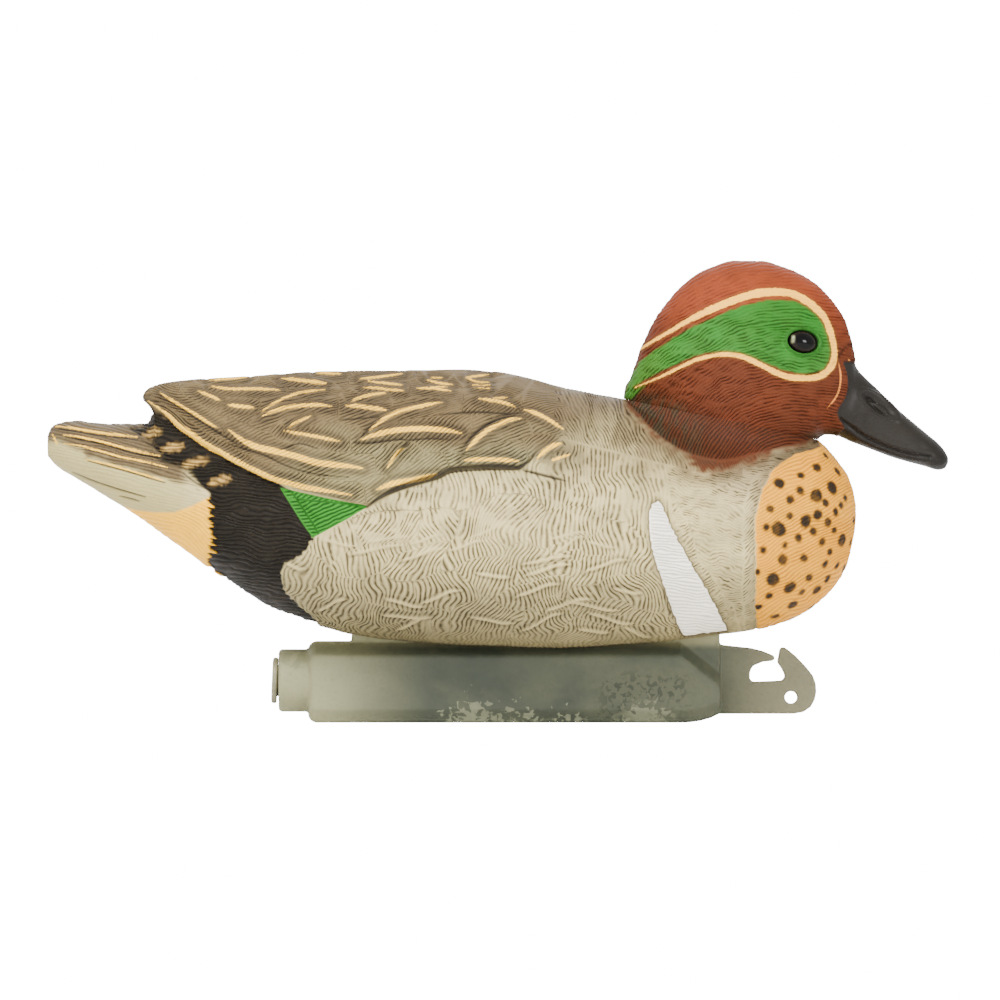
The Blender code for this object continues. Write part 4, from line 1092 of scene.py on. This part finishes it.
def head_feathers(x, z):
    """The chestnut of crown and cheek, smoked with grey at the nape."""
    tone = rough_noise(x / 8.0, z / 5.0, 82)
    under = np.interp(x, [43, 62, 80, 92], [118, 113, 100, 86]) - z
    nape = step(84.0, 52.0, x) * step(-1.0, 6.0, under)
    streak = step(-0.25, 0.45, noise((x - 0.35 * z) / 0.9, (z + 0.8 * x) / 4.0, 83))
    return layered(
        paint(142, 76, 46),
        (0.8 * step(126, 148, z), paint(190, 108, 70)),
        (0.6 * step(116, 96, z), paint(114, 57, 30)),
        (0.3 * step(0.0, 0.8, tone), paint(116, 58, 32)),
        (0.2 * step(0.0, -0.8, tone), paint(178, 99, 62)),
        (0.8 * nape * (0.25 + 0.75 * streak), paint(98, 90, 66)),
    )


def head_coat(f):
    x, z = f["x"], f["z"]
    tone = rough_noise(x / 8.0, z / 5.0, 82)
    leaf = layered(
        paint(100, 160, 80),
        (0.5 * step(0.0, 0.8, tone), paint(62, 128, 46)),
        (0.5 * step(128, 138, z) * step(66, 90, x), paint(72, 148, 58)),
        (0.35 * step(66, 48, x), paint(138, 164, 84)),
    )
    root = 0.8 * step(101.0, 97.5, z + 0.45 * (x - 118)) * step(128, 120, x)
    beak = layered(
        paint(42, 37, 31),
        (0.4 * step(-0.2, 0.8, tone), paint(54, 48, 39)),
        (0.6 * step(147.5, 152.0, x), paint(33, 29, 24)),
        (root, paint(112, 104, 74)),
    )
    # Painted shadow under the cheek at the throat.
    throat_shadow = step(101, 108, x) * step(101.5, 98.5, z - 0.1 * (x - 110))
    return layered(
        head_feathers(x, z),
        (step(0.5, -0.5, f["green"]), leaf),
        (0.75 * throat_shadow, paint(92, 76, 52)),
        (step(0.2, -0.2, f["bill"]), beak),
    )


def head_skin():
    """The head; its grid is turned over, as it is open at the low edge."""
    p, neck = head_grid()
    f = head_fields(p)
    phase, depth, wash = head_lines(f)
    h = head_relief(f, phase, depth)
    foot = neck[:, None] & (np.arange(p.shape[1]) == 0)[None, :]
    moved = push_out(p[:, ::-1], h[:, ::-1], neck)[:, ::-1]
    limit = seam_z(moved[..., 0]) + SEAM_GAP / 2
    under = neck[:, None] & (moved[..., 2] < limit)
    moved[..., 2] = np.where(under | foot, limit, moved[..., 2])
    vectors = {
        "line": (phase, depth, wash),
        "zone_a": (f["stripe"], f["cheek"], f["bill"]),
        "zone_b": (f["gape"], f["nostril"], f["ring"]),
    }
    flip = {k: tuple(a[:, ::-1] for a in t) for k, t in vectors.items()}
    return both_sides("head_skin", moved[:, ::-1], neck, head_coat(f)[:, ::-1], flip)


# ------------------------------------------------------------------ materials
OCHRE = np.array([0.74, 0.315, 0.002])
OCHRE_DEEP = np.array([0.66, 0.265, 0.002])
OCHRE_LINE = np.array([0.28, 0.10, 0.003])
WHITE = np.array([1.0, 0.94, 0.80])
CREAM_PAINT = np.array([0.98, 0.55, 0.035])
STRIPE_PAINT = np.array([0.82, 0.40, 0.04])
FLOOR_WHITE = np.array([0.92, 0.92, 0.92])


class Paint:
    """A node material that is written as a short recipe."""

    def __init__(self, name):
        self.mat = bpy.data.materials.new(name)
        self.mat.use_nodes = True
        self.tree = self.mat.node_tree
        self.shader = self.tree.nodes["Principled BSDF"]

    def put(self, socket, value):
        if isinstance(value, bpy.types.NodeSocket):
            self.tree.links.new(value, socket)
        elif isinstance(value, np.ndarray):
            socket.default_value = (*value.tolist(), 1.0)
        else:
            socket.default_value = value

    def add(self, kind, inputs, out=0, **props):
        node = self.tree.nodes.new(kind)
        for key, value in props.items():
            setattr(node, key, value)
        for key, value in inputs.items():
            self.put(node.inputs[key], value)
        return node.outputs[out]

    def calc(self, operation, a, b=0.0, c=0.0):
        return self.add("ShaderNodeMath", {0: a, 1: b, 2: c}, operation=operation)

    def times(self, *values):
        total = values[0]
        for value in values[1:]:
            total = self.calc("MULTIPLY", total, value)
        return total

    def ramp(self, value, low, high, start=0.0, end=1.0):
        inputs = {"Value": value, "From Min": low, "From Max": high}
        inputs.update({"To Min": start, "To Max": end})
        return self.add("ShaderNodeMapRange", inputs, interpolation_type="SMOOTHSTEP")

    def on(self, field, soft):
        """1 inside a painted shape, 0 outside it."""
        return self.ramp(field, soft, -soft)

    def mix(self, amount, a, b, blend="MIX"):
        inputs = {0: amount, 6: a, 7: b}
        return self.add("ShaderNodeMix", inputs, 2, data_type="RGBA", blend_type=blend)

    def over(self, colour, *coats):
        """Colour with every (amount, paint) of the coats laid over it in turn."""
        for amount, new in coats:
            colour = self.mix(amount, colour, new)
        return colour

    def place(self):
        return self.add("ShaderNodeTexCoord", {}, 3)

    def noise(self, scale, detail=2.0, vector=None, distortion=0.0):
        vector = vector or self.place()
        inputs = {"Vector": vector, "Scale": scale, "Detail": detail, "Distortion": distortion}
        return self.add("ShaderNodeTexNoise", inputs)

    def stretched(self, x, y, z):
        inputs = {"Vector": self.place(), "Scale": (x, y, z)}
        return self.add("ShaderNodeMapping", inputs)

    def field(self, name):
        return self.add("ShaderNodeAttribute", {}, 1, attribute_name=name)

    def coat(self):
        return self.add("ShaderNodeAttribute", {}, 0, attribute_name="coat")

    def split(self, vector):
        node = self.tree.nodes.new("ShaderNodeSeparateXYZ")
        self.tree.links.new(vector, node.inputs[0])
        return node.outputs

    def relief(self, height, distance=MM):
        inputs = {"Height": height, "Distance": distance, "Strength": 1.0}
        normal = self.add("ShaderNodeBump", inputs)
        self.put(self.shader.inputs["Normal"], normal)

    def carve(self, cut, depth, grain, height):
        """Bumps for the cut grooves and the grain of the plastic."""
        self.relief(self.calc("MULTIPLY_ADD", grain, height, self.times(cut, depth)))

    def set(self, **values):
        for key, value in values.items():
            self.put(self.shader.inputs[key.replace("_", " ")], value)
        return self.mat

    def grooves(self, sharp):
        """How deep the grooves are cut here, and how dark they are washed."""
        phase, depth, wash = self.split(self.field("line"))
        wave = self.calc("COSINE", self.calc("MULTIPLY", phase, 2 * math.pi))
        groove = self.calc("POWER", self.calc("MULTIPLY_ADD", wave, 0.5, 0.5), sharp)
        breaks = self.ramp(self.noise(420.0, 2.0), 0.32, 0.54, 0.60, 1.0)
        return self.times(groove, depth), self.times(groove, wash, breaks)


def body_material():
    p = Paint("body_coat")
    cut, stain = p.grooves(1.4)
    cream, dark, crescent = p.split(p.field("zone_a"))
    green, patch, spots = p.split(p.field("zone_b"))
    vane, _, _ = p.split(p.field("zone_c"))
    fine = p.noise(1300.0, 3.0)
    cloud = p.noise(75.0, 3.0)
    soft = p.noise(260.0, 2.0)
    coat = p.coat()
    shade = p.mix(1.0, coat, np.array([0.125, 0.12, 0.11]), "MULTIPLY")
    leaf = p.mix(p.calc("POWER", cut, 0.7), paint(108, 176, 82), paint(14, 84, 12))
    leaf = p.mix(p.times(p.on(vane, 0.25), 0.85), leaf, paint(16, 98, 16))
    ochre = p.mix(p.ramp(cloud, 0.35, 0.7), OCHRE, OCHRE_DEEP)
    ochre = p.mix(p.times(cut, 0.9), ochre, OCHRE_LINE)
    on_patch = p.on(patch, 0.3)
    ink = p.times(p.ramp(spots, 0.25, -0.8), on_patch, p.ramp(soft, 0.30, 0.55, 0.75, 0.97))
    border = p.ramp(p.calc("ABSOLUTE", p.calc("SUBTRACT", crescent, 0.3)), 0.5, 0.0)
    white = p.mix(p.times(cut, 0.55), WHITE, paint(190, 180, 156))
    worn = p.calc("ADD", cream, p.times(p.ramp(fine, 0.3, 0.7, -1.0, 1.0), 0.14))
    quill = p.mix(p.times(cut, 0.75), CREAM_PAINT, paint(158, 120, 62))
    c = p.over(
        coat,
        (stain, shade),
        (p.on(green, 0.18), leaf),
        (on_patch, ochre),
        (p.times(p.ramp(spots, 0.8, -0.6), on_patch, 0.7), paint(138, 98, 50)),
        (ink, paint(50, 38, 26)),
        (p.times(border, 0.62), paint(112, 97, 72)),
        (p.on(crescent, 0.2), white),
        (p.times(p.on(worn, 0.22), 0.95), quill),
        # Painted shadow along the feather edges, from the shadow lines.
        (p.times(p.ramp(dark, 0.45, -0.25), 0.9), paint(48, 40, 31)),
        (p.ramp(cloud, 0.25, 0.75, 0.14, 0.0), paint(86, 74, 56)),
        (p.ramp(fine, 0.5, 0.75, 0.0, 0.16), paint(92, 80, 60)),
    )
    p.carve(cut, -0.22, fine, 0.035)
    rough = p.ramp(cloud, 0.3, 0.7, 0.56, 0.7)
    return p.set(Base_Color=c, Roughness=rough, Specular_IOR_Level=0.09)


def head_material():
    p = Paint("head_coat")
    cut, stain = p.grooves(2.0)
    stripe, cheek, bill = p.split(p.field("zone_a"))
    gape, nostril, ring = p.split(p.field("zone_b"))
    fine = p.noise(1300.0, 3.0)
    cloud = p.noise(90.0, 3.0)
    coat = p.coat()
    shade = p.mix(1.0, coat, np.array([0.36, 0.28, 0.24]), "MULTIPLY")
    edge = p.calc("ADD", stripe, p.ramp(fine, 0.3, 0.7, -0.12, 0.12))
    line = p.mix(p.times(cut, 0.8), STRIPE_PAINT, paint(188, 134, 70))
    beak = p.on(bill, 0.18)
    sheen = p.mix(p.ramp(cloud, 0.4, 0.8, 0.0, 0.2), coat, paint(70, 63, 52))
    lid = p.ramp(p.calc("ABSOLUTE", p.calc("SUBTRACT", ring, 1.15)), 0.17, 0.04)
    c = p.over(
        coat,
        (stain, shade),
        (p.ramp(cloud, 0.25, 0.7, 0.2, 0.0), paint(110, 58, 36)),
        (p.times(p.ramp(stripe, 1.2, 0.1), 0.30), paint(178, 128, 76)),
        (p.times(p.on(edge, 0.2), 0.96), line),
        (p.times(p.on(cheek, 0.15), 0.75), paint(236, 192, 140)),
        (beak, sheen),
        (p.times(p.ramp(gape, 0.4, -0.1), beak, 0.8), paint(26, 22, 18)),
        (p.times(p.ramp(nostril, 0.35, -0.3), 0.85), paint(22, 19, 15)),
        (p.times(lid, 0.45), paint(58, 104, 40)),
        (p.ramp(ring, 1.07, 0.97), paint(24, 24, 15)),
        (p.ramp(fine, 0.5, 0.75, 0.0, 0.12), paint(74, 48, 34)),
    )
    p.carve(cut, -0.2, fine, 0.03)
    rough = p.ramp(beak, 0.0, 1.0, 0.6, 0.42)
    gloss = p.ramp(beak, 0.0, 1.0, 0.08, 0.13)
    return p.set(Base_Color=c, Roughness=rough, Specular_IOR_Level=gloss)


def eye_material():
    p = Paint("eye_gloss")
    across, painted_reflection, _ = p.split(p.field("iris"))
    grain = p.noise(2500.0, 2.0)
    iris = p.mix(p.ramp(grain, 0.3, 0.7), paint(26, 16, 10), paint(44, 28, 16))
    c = p.over(
        paint(8, 7, 6),
        (p.ramp(across, 0.62, 0.74), iris),
        (p.ramp(across, 0.88, 0.97), paint(14, 12, 9)),
        # Painted reflection at the rear corner of the lens.
        (p.times(painted_reflection, 0.8), paint(176, 178, 150)),
    )
    rough = p.ramp(grain, 0.2, 0.8, 0.03, 0.07)
    return p.set(Base_Color=c, Roughness=rough, Specular_IOR_Level=0.10)


# Worn places along the keel's foot: centre, width and height. These and the places in
# keel_material are in metres, as the shader sees them.
SCUFFS = [
    (-0.010, 0.0095, 0.0090), (0.006, 0.006, 0.0045), (0.021, 0.009, 0.0035),
    (0.049, 0.0085, 0.0105),
]


def keel_material():
    """Moulded plastic, paler at both ends, with painted light along its top under the belly,
    scuffed and chipped along its foot.
    """
    p = Paint("keel_plastic_worn")
    x, _, z = p.split(p.place())
    broad = p.noise(24.0, 3.0, p.stretched(1.0, 1.0, 1.5), 0.4)
    smear = p.noise(46.0, 5.0, p.stretched(0.45, 1.0, 1.0), 0.8)
    chips = p.noise(430.0, 4.0, None, 0.6)
    speck = p.noise(900.0, 3.0)
    faint = p.noise(150.0, 6.0, p.stretched(0.7, 1.0, 1.0), 1.2)
    olive = p.mix(p.ramp(broad, 0.35, 0.65), paint(94, 101, 86), paint(127, 129, 109))
    rear = p.calc("MULTIPLY_ADD", p.ramp(broad, 0.3, 0.7, -1.0, 1.0), 0.006, x)
    lift = 0.0
    for centre, width, height in SCUFFS:
        away = p.calc("DIVIDE", p.calc("SUBTRACT", x, centre), width)
        hump = p.calc("EXPONENT", p.times(away, away, -1.0))
        lift = p.calc("MULTIPLY_ADD", hump, height, lift)
    rise = p.calc("SUBTRACT", p.calc("MULTIPLY_ADD", smear, 0.010, z), lift)
    dense = p.calc("MULTIPLY_ADD", p.calc("SUBTRACT", rise, 0.0030), -26.0, chips)
    chip = p.times(p.ramp(dense, 0.50, 0.56), p.ramp(lift, 0.0008, 0.0022))
    dark = p.times(p.ramp(chips, 0.50, 0.55), p.ramp(smear, 0.44, 0.56))
    dark = p.times(dark, p.ramp(z, 0.021, 0.012), p.ramp(x, 0.030, 0.042))
    cloudy = p.times(p.ramp(faint, 0.54, 0.62), p.ramp(smear, 0.45, 0.6))
    c = p.over(
        olive,
        (p.ramp(rear, -0.022, -0.078), paint(184, 181, 157)),
        # Painted light: the top of the keel under the belly is made paler to lift the body's
        # shadow.
        (p.ramp(z, 0.0250, 0.0290, 0.0, 0.85), paint(192, 188, 164)),
        (p.ramp(x, 0.072, 0.098), paint(160, 156, 133)),
        (p.times(chip, p.ramp(smear, 0.35, 0.6, 0.45, 0.8)), paint(178, 178, 158)),
        (p.times(dark, p.ramp(x, 0.070, 0.060), 0.6), paint(62, 68, 56)),
        (p.times(cloudy, p.ramp(x, 0.02, 0.0), 0.22), paint(84, 92, 76)),
        (p.ramp(speck, 0.5, 0.75, 0.0, 0.12), paint(84, 84, 68)),
    )
    p.carve(smear, 0.10, speck, 0.05)
    rough = p.ramp(broad, 0.3, 0.7, 0.5, 0.66)
    return p.set(Base_Color=c, Roughness=rough, Specular_IOR_Level=0.22)


def grainy(p, grain, first, second, height, rough):
    """Colour of a two-toned grain; sets its bumps and roughness too."""
    p.relief(p.calc("MULTIPLY", grain, height))
    p.set(Roughness=p.ramp(grain, 0.3, 0.7, *rough))
    return p.mix(p.ramp(grain, 0.35, 0.65), first, second)


def plug_material():
    p = Paint("plug_plastic_worn")
    cloud = p.noise(240.0, 3.0)
    speck = p.noise(1100.0, 2.0)
    c = p.mix(p.ramp(cloud, 0.35, 0.65), paint(186, 180, 156), paint(160, 155, 132))
    c = p.mix(p.ramp(speck, 0.6, 0.8, 0.0, 0.35), c, paint(112, 108, 90))
    p.relief(p.calc("MULTIPLY", speck, 0.05))
    return p.set(Base_Color=c, Roughness=p.ramp(cloud, 0.3, 0.7, 0.45, 0.6))


def sand_material():
    p = Paint("packed_sand")
    grain = p.noise(2600.0, 4.0)
    c = grainy(p, grain, paint(150, 128, 96), paint(206, 184, 146), 0.35, (0.85, 0.98))
    patchy = p.ramp(p.noise(120.0, 3.0), 0.4, 0.7, 0.0, 0.4)
    return p.set(Base_Color=p.mix(patchy, c, paint(120, 100, 74)))


def steel_material():
    p = Paint("zinc_steel")
    grain = p.noise(900.0, 3.0, p.stretched(1.0, 1.0, 0.12))
    c = grainy(p, grain, paint(150, 150, 146), paint(196, 196, 190), 0.02, (0.28, 0.42))
    return p.set(Base_Color=c, Metallic=1.0)


# ------------------------------------------------------------- smaller pieces
# The chamber's sections as (x, inset); screw wells, line hole (x, z, radius) and plug.
KEEL_ENDS = [
    (-65.4, 2.4), (-64.9, 1.3), (-64.1, 0.5), (-62.8, 0.0), (62.7, 0.0), (66.0, 0.0),
    (69.5, 0.0), (73.0, 0.0), (76.3, 0.3),
]
KEEL_VOXEL = 0.42
WEB_ENDS = (-50.5, 76.2)
TAB_HALF = 1.75
FILL_AXIS_Z = 14.5
NECK_PROFILE = [(10.8, 0.0), (10.8, 12.2), (10.4, 12.9), (9.6, 13.2)]
BORE_RADIUS = 5.8
SCREW_X = (-44.0, 66.0)
WELL_RADIUS = 4.3
LINE_HOLE = (100.7, 8.7, 2.1)
PLUG_PROFILE = [
    (4.6, -8.3), (5.2, -7.8), (5.4, -7.0), (5.4, -0.3), (5.5, 0.0), (7.3, 0.0), (7.7, 0.15),
    (7.9, 0.5), (7.9, 1.1), (7.8, 1.5), (7.5, 1.8), (7.0, 1.9), (6.2, 1.95), (6.0, 1.8),
    (5.6, 1.7), (2.0, 1.7), (1.2, 1.65),
]
PLUG_SEAT_X = -75.95
PLUG_LEAN = math.radians(2.4)


def wear(obj, mat):
    obj.data.materials.clear()
    obj.data.materials.append(mat)


def smooth_faces(mesh):
    mesh.polygons.foreach_set("use_smooth", np.ones(len(mesh.polygons), bool))


def show(name, data):
    """A new object that holds this data, linked to the scene."""
    obj = bpy.data.objects.new(name, data)
    bpy.context.scene.collection.objects.link(obj)
    return obj


def link(name, bm):
    bmesh.ops.recalc_face_normals(bm, faces=bm.faces)
    mesh = bpy.data.meshes.new(name)
    bm.to_mesh(mesh)
    bm.free()
    smooth_faces(mesh)
    return show(name, mesh)


def eye_place(side):
    x, z = np.array([EYE_CENTRE[0]]), np.array([EYE_CENTRE[1]])
    w = float(head_half(x, z)[0])
    dx = float((head_half(x + 0.5, z) - head_half(x - 0.5, z))[0])
    dz = float((head_half(x, z + 0.5) - head_half(x, z - 0.5))[0])
    normal = Vector((-dx, side, -dz)).normalized()
    along = Vector((math.cos(EYE_TILT), 0, math.sin(EYE_TILT)))
    along = (along - normal * along.dot(normal)).normalized()
    up = normal.cross(along) * side * -1
    centre = Vector((EYE_CENTRE[0], side * w, EYE_CENTRE[1])) - normal * 1.1
    frame_axes = Matrix((along, up * -side, normal)).transposed().to_4x4()
    return Matrix.Translation(centre * MM) @ frame_axes


def eye_piece(name, side, mat):
    """A glossy lens with its pole facing outward."""
    bm = bmesh.new()
    bmesh.ops.create_uvsphere(bm, u_segments=72, v_segments=48, radius=1.0)
    local = [v.co.copy() for v in bm.verts]
    bmesh.ops.scale(bm, vec=[s * MM for s in EYE_SIZE], verts=bm.verts)
    bm.transform(eye_place(side))
    obj = link(name, bm)
    values = []
    for co in local:
        across = math.hypot(co.x, co.y)
        # Painted reflection: a pale sliver at the lens's rear corner, kept as the second value of
        # the iris attribute.
        rear = max(0.0, 1 - abs(co.x + 0.78) / 0.13) * max(0.0, 1 - (co.y / 0.42) ** 2)
        values.append((across, min(1.0, 1.6 * rear) if co.z > 0 else 0.0, 0.0))
    data = obj.data.attributes.new("iris", "FLOAT_VECTOR", "POINT").data
    data.foreach_set("vector", np.array(values, np.float32).ravel())
    wear(obj, mat)
    return obj


def ring_loft(bm, rings):
    rows = [[bm.verts.new(Vector(p) * MM) for p in ring] for ring in rings]
    n = len(rings[0])
    for a, b in zip(rows, rows[1:]):
        for i in range(n):
            j = (i + 1) % n
            bm.faces.new((a[i], a[j], b[j], b[i]))
    bm.faces.new(rows[0])
    bm.faces.new(list(reversed(rows[-1])))


def angles(count):
    return [2 * math.pi * i / count for i in range(count)]


def turned(profile, origin, segments):
    """Rings about an axis that runs toward -X from origin."""
    x, y, z = origin
    turn = angles(segments)
    return [[(x - h, y + r * math.cos(a), z + r * math.sin(a)) for a in turn] for r, h in profile]


def keel_section(x, inset):
    """One closed ring of the ballast chamber, narrower and lower toward its nose."""
    nose = max(0.0, (x - 62.7) / 13.6)
    half = 12.0 - 2.5 * nose * nose - inset
    foot = 10.2 - 2.5 * nose * nose - inset
    floor = inset + 2.9 * nose ** 2.2
    shoulder = 23.4 - 10.5 * nose - inset
    top = max(28.1 - inset, shoulder + 4.6)
    side = [(foot - 1.6, floor), (foot - 0.4, floor + 0.5), (foot, floor + 1.6)]
    side += [(half, floor + 4.5), (half, shoulder - 1.0), (half - 0.5, shoulder)]
    side += [(4.2, shoulder + 4.2), (4.2, top)]
    return [(x, -w, z) for w, z in side] + [(x, w, z) for w, z in reversed(side)]


def keel_tab_outline():
    """The line tab with its hooked slot, as points on its side."""
    corner = [(101.5, 3.0), (105.0, 3.6), (107.6, 5.4), (109.0, 8.0)]
    nose = [(109.5, 10.6), (109.3, 13.4), (108.3, 16.2), (105.6, 19.6), (102.4, 22.9)]
    hook = [(99.9, 25.0), (98.6, 25.9), (97.4, 26.0), (96.7, 25.2), (96.3, 22.7), (95.9, 20.8)]
    slot = [(97.4, 18.6), (98.4, 16.6), (98.4, 15.4), (97.4, 14.5), (87.6, 14.1), (86.6, 15.0)]
    slot += [(86.6, 17.4), (87.6, 19.4), (91.0, 20.9), (94.4, 21.2)]
    arm = [(95.3, 22.0), (94.8, 23.1), (91.0, 24.7), (87.0, 25.7), (77.0, 26.8), (70.0, 26.8)]
    return [(70.0, 3.0)] + corner + nose + hook + slot + arm


def helper(name, rings):
    bm = bmesh.new()
    ring_loft(bm, rings)
    return link(name, bm)


def combine(obj, other, operation):
    mod = obj.modifiers.new(operation, "BOOLEAN")
    mod.operation = operation
    mod.solver = "EXACT"
    mod.object = other
    bake(obj)
    bpy.data.objects.remove(other, do_unlink=True)


def bake(obj):
    """Replaces the mesh by what its modifiers make of it."""
    graph = bpy.context.evaluated_depsgraph_get()
    made = bpy.data.meshes.new_from_object(obj.evaluated_get(graph))
    obj.modifiers.clear()
    obj.data = made


def keel_piece(mat):
    """Chamber, web, tab and filling neck, moulded as one with soft edges."""
    keel = helper("keel_skin", [keel_section(x, inset) for x, inset in KEEL_ENDS])
    edges = [(-4.1, 20.0), (4.1, 20.0), (4.1, 32.5), (-4.1, 32.5)]
    web = [[(x, y, z) for y, z in edges] for x in WEB_ENDS]
    tab = [[(x, y, z) for x, z in keel_tab_outline()] for y in (-TAB_HALF, TAB_HALF)]
    neck = turned(NECK_PROFILE, (-62.4, 0.0, FILL_AXIS_Z), 64)
    bore = turned([(BORE_RADIUS, 0.0), (BORE_RADIUS, 20.0)], (-66.0, 0.0, FILL_AXIS_Z), 48)
    for name, rings in (("web", web), ("tab", tab), ("neck", neck)):
        combine(keel, helper(name, rings), "UNION")
    combine(keel, helper("bore", bore), "DIFFERENCE")
    r = WELL_RADIUS
    for x in SCREW_X:
        rim = [(x + r * math.cos(a), r * math.sin(a)) for a in angles(40)]
        well = [[(wx, wy, z) for wx, wy in rim] for z in (-2.0, 17.0)]
        combine(keel, helper("well", well), "DIFFERENCE")
    x, z, r = LINE_HOLE
    rim = [(x + r * math.cos(a), z + r * math.sin(a)) for a in angles(32)]
    hole = [[(hx, y, hz) for hx, hz in rim] for y in (-4, 4)]
    combine(keel, helper("hole", hole), "DIFFERENCE")
    mod = keel.modifiers.new("skin", "REMESH")
    mod.mode = "VOXEL"
    mod.voxel_size = KEEL_VOXEL * MM
    mod = keel.modifiers.new("soft", "SMOOTH")
    mod.factor = 0.5
    mod.iterations = 3
    bake(keel)
    smooth_faces(keel.data)
    wear(keel, mat)
    return keel


def plug_piece(mat):
    """The stepped plug, seated a little askew on the filling neck."""
    bm = bmesh.new()
    ring_loft(bm, turned(PLUG_PROFILE, (0.0, 0.0, 0.0), 96))
    lean = Matrix.Rotation(PLUG_LEAN, 4, "Y")
    bm.transform(Matrix.Translation(Vector((PLUG_SEAT_X, 0.0, FILL_AXIS_Z)) * MM) @ lean)
    obj = link("plug_skin", bm)
    wear(obj, mat)
    return obj


# ------------------------------------------------------------------ the stage
# In metres and watts. A lamp is its name, place, size, power and tint.
BACKDROP_GLOW = 17.0
SKY_STRENGTH = 1.5
LAMP_TARGET = (0.0, 0.0, 0.07)
LAMPS = [
    ("key", (-0.35, -0.9, 1.05), 0.5, 39.0, (1.0, 0.985, 0.955)),
    ("fill", (1.1, -0.95, 0.40), 0.34, 13.0, (1.0, 1.0, 1.0)),
    ("front", (-0.3, -1.5, 0.14), 1.0, 15.0, (1.0, 1.0, 1.0)),
    ("rim", (0.1, 1.2, 0.9), 0.8, 8.0, (1.0, 1.0, 1.0)),
]
CAMERA_DISTANCE = 10.0
SHOWN_WIDTH = 0.3442
VIEW_CENTRE = (0.0006, 0.0766)


def backdrop_light(tree, shader, output, kind):
    """The camera sees the plain backdrop brightly lit, all else sees it soft."""
    nodes, links = tree.nodes, tree.links
    rays = nodes.new("ShaderNodeLightPath")
    mix = nodes.new("ShaderNodeMixShader")
    bright = nodes.new(kind)
    bright.inputs["Color"].default_value = (1.0, 1.0, 1.0, 1.0)
    bright.inputs["Strength"].default_value = BACKDROP_GLOW
    links.new(rays.outputs["Is Camera Ray"], mix.inputs[0])
    links.new(shader.outputs[0], mix.inputs[1])
    links.new(bright.outputs[0], mix.inputs[2])
    links.new(mix.outputs[0], output.inputs["Surface"])


def floor():
    bm = bmesh.new()
    bmesh.ops.create_grid(bm, x_segments=1, y_segments=1, size=30.0)
    obj = link("floor", bm)
    p = Paint("floor_white")
    wear(obj, p.set(Base_Color=FLOOR_WHITE, Roughness=0.9, Specular_IOR_Level=0.0))
    output = p.tree.nodes["Material Output"]
    backdrop_light(p.tree, p.shader, output, "ShaderNodeEmission")


def lamp(name, place, size, power, tint):
    light = bpy.data.lights.new(name, "AREA")
    light.size = size
    light.energy = power
    light.color = tint
    obj = show(name, light)
    obj.location = place
    aim = Vector(LAMP_TARGET) - Vector(place)
    obj.rotation_euler = aim.to_track_quat("-Z", "Y").to_euler()


def studio():
    world = bpy.data.worlds.new("studio")
    world.use_nodes = True
    nodes = world.node_tree.nodes
    sky = nodes["Background"]
    sky.inputs["Color"].default_value = (1.0, 1.0, 1.0, 1.0)
    sky.inputs["Strength"].default_value = SKY_STRENGTH
    backdrop_light(world.node_tree, sky, nodes["World Output"], "ShaderNodeBackground")
    bpy.context.scene.world = world
    for setting in LAMPS:
        lamp(*setting)


def camera():
    """A long lens, level with the middle of the bird, square to its side."""
    data = bpy.data.cameras.new("camera")
    data.sensor_width = 36.0
    data.lens = data.sensor_width * CAMERA_DISTANCE / SHOWN_WIDTH
    data.clip_end = 100.0
    obj = show("camera", data)
    obj.location = (VIEW_CENTRE[0], -CAMERA_DISTANCE, VIEW_CENTRE[1])
    obj.rotation_euler = (math.radians(90.0), 0.0, 0.0)
    bpy.context.scene.camera = obj


def assemble():
    body = body_skin()
    wear(body, body_material())
    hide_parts("body_shell")
    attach(body, "body")

    head = head_skin()
    wear(head, head_material())
    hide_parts("head_shell")
    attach(head, "head")

    gloss = eye_material()
    for name, node, side in (
        ("eye_lens_right", "eye_right", -1),
        ("eye_lens_left", "eye_left", 1),
    ):
        eye = eye_piece(name, side, gloss)
        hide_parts(node)
        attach(eye, "head")

    keel = keel_piece(keel_material())
    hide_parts("keel_shell")
    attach(keel, "body")

    plug = plug_piece(plug_material())
    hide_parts("keel_plug")
    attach(plug, "plug")

    wear(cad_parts["keel_ballast"], sand_material())
    steel = steel_material()
    wear(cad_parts["keel_screw_front"], steel)
    wear(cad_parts["keel_screw_rear"], steel)


assemble()
floor()
studio()
camera()
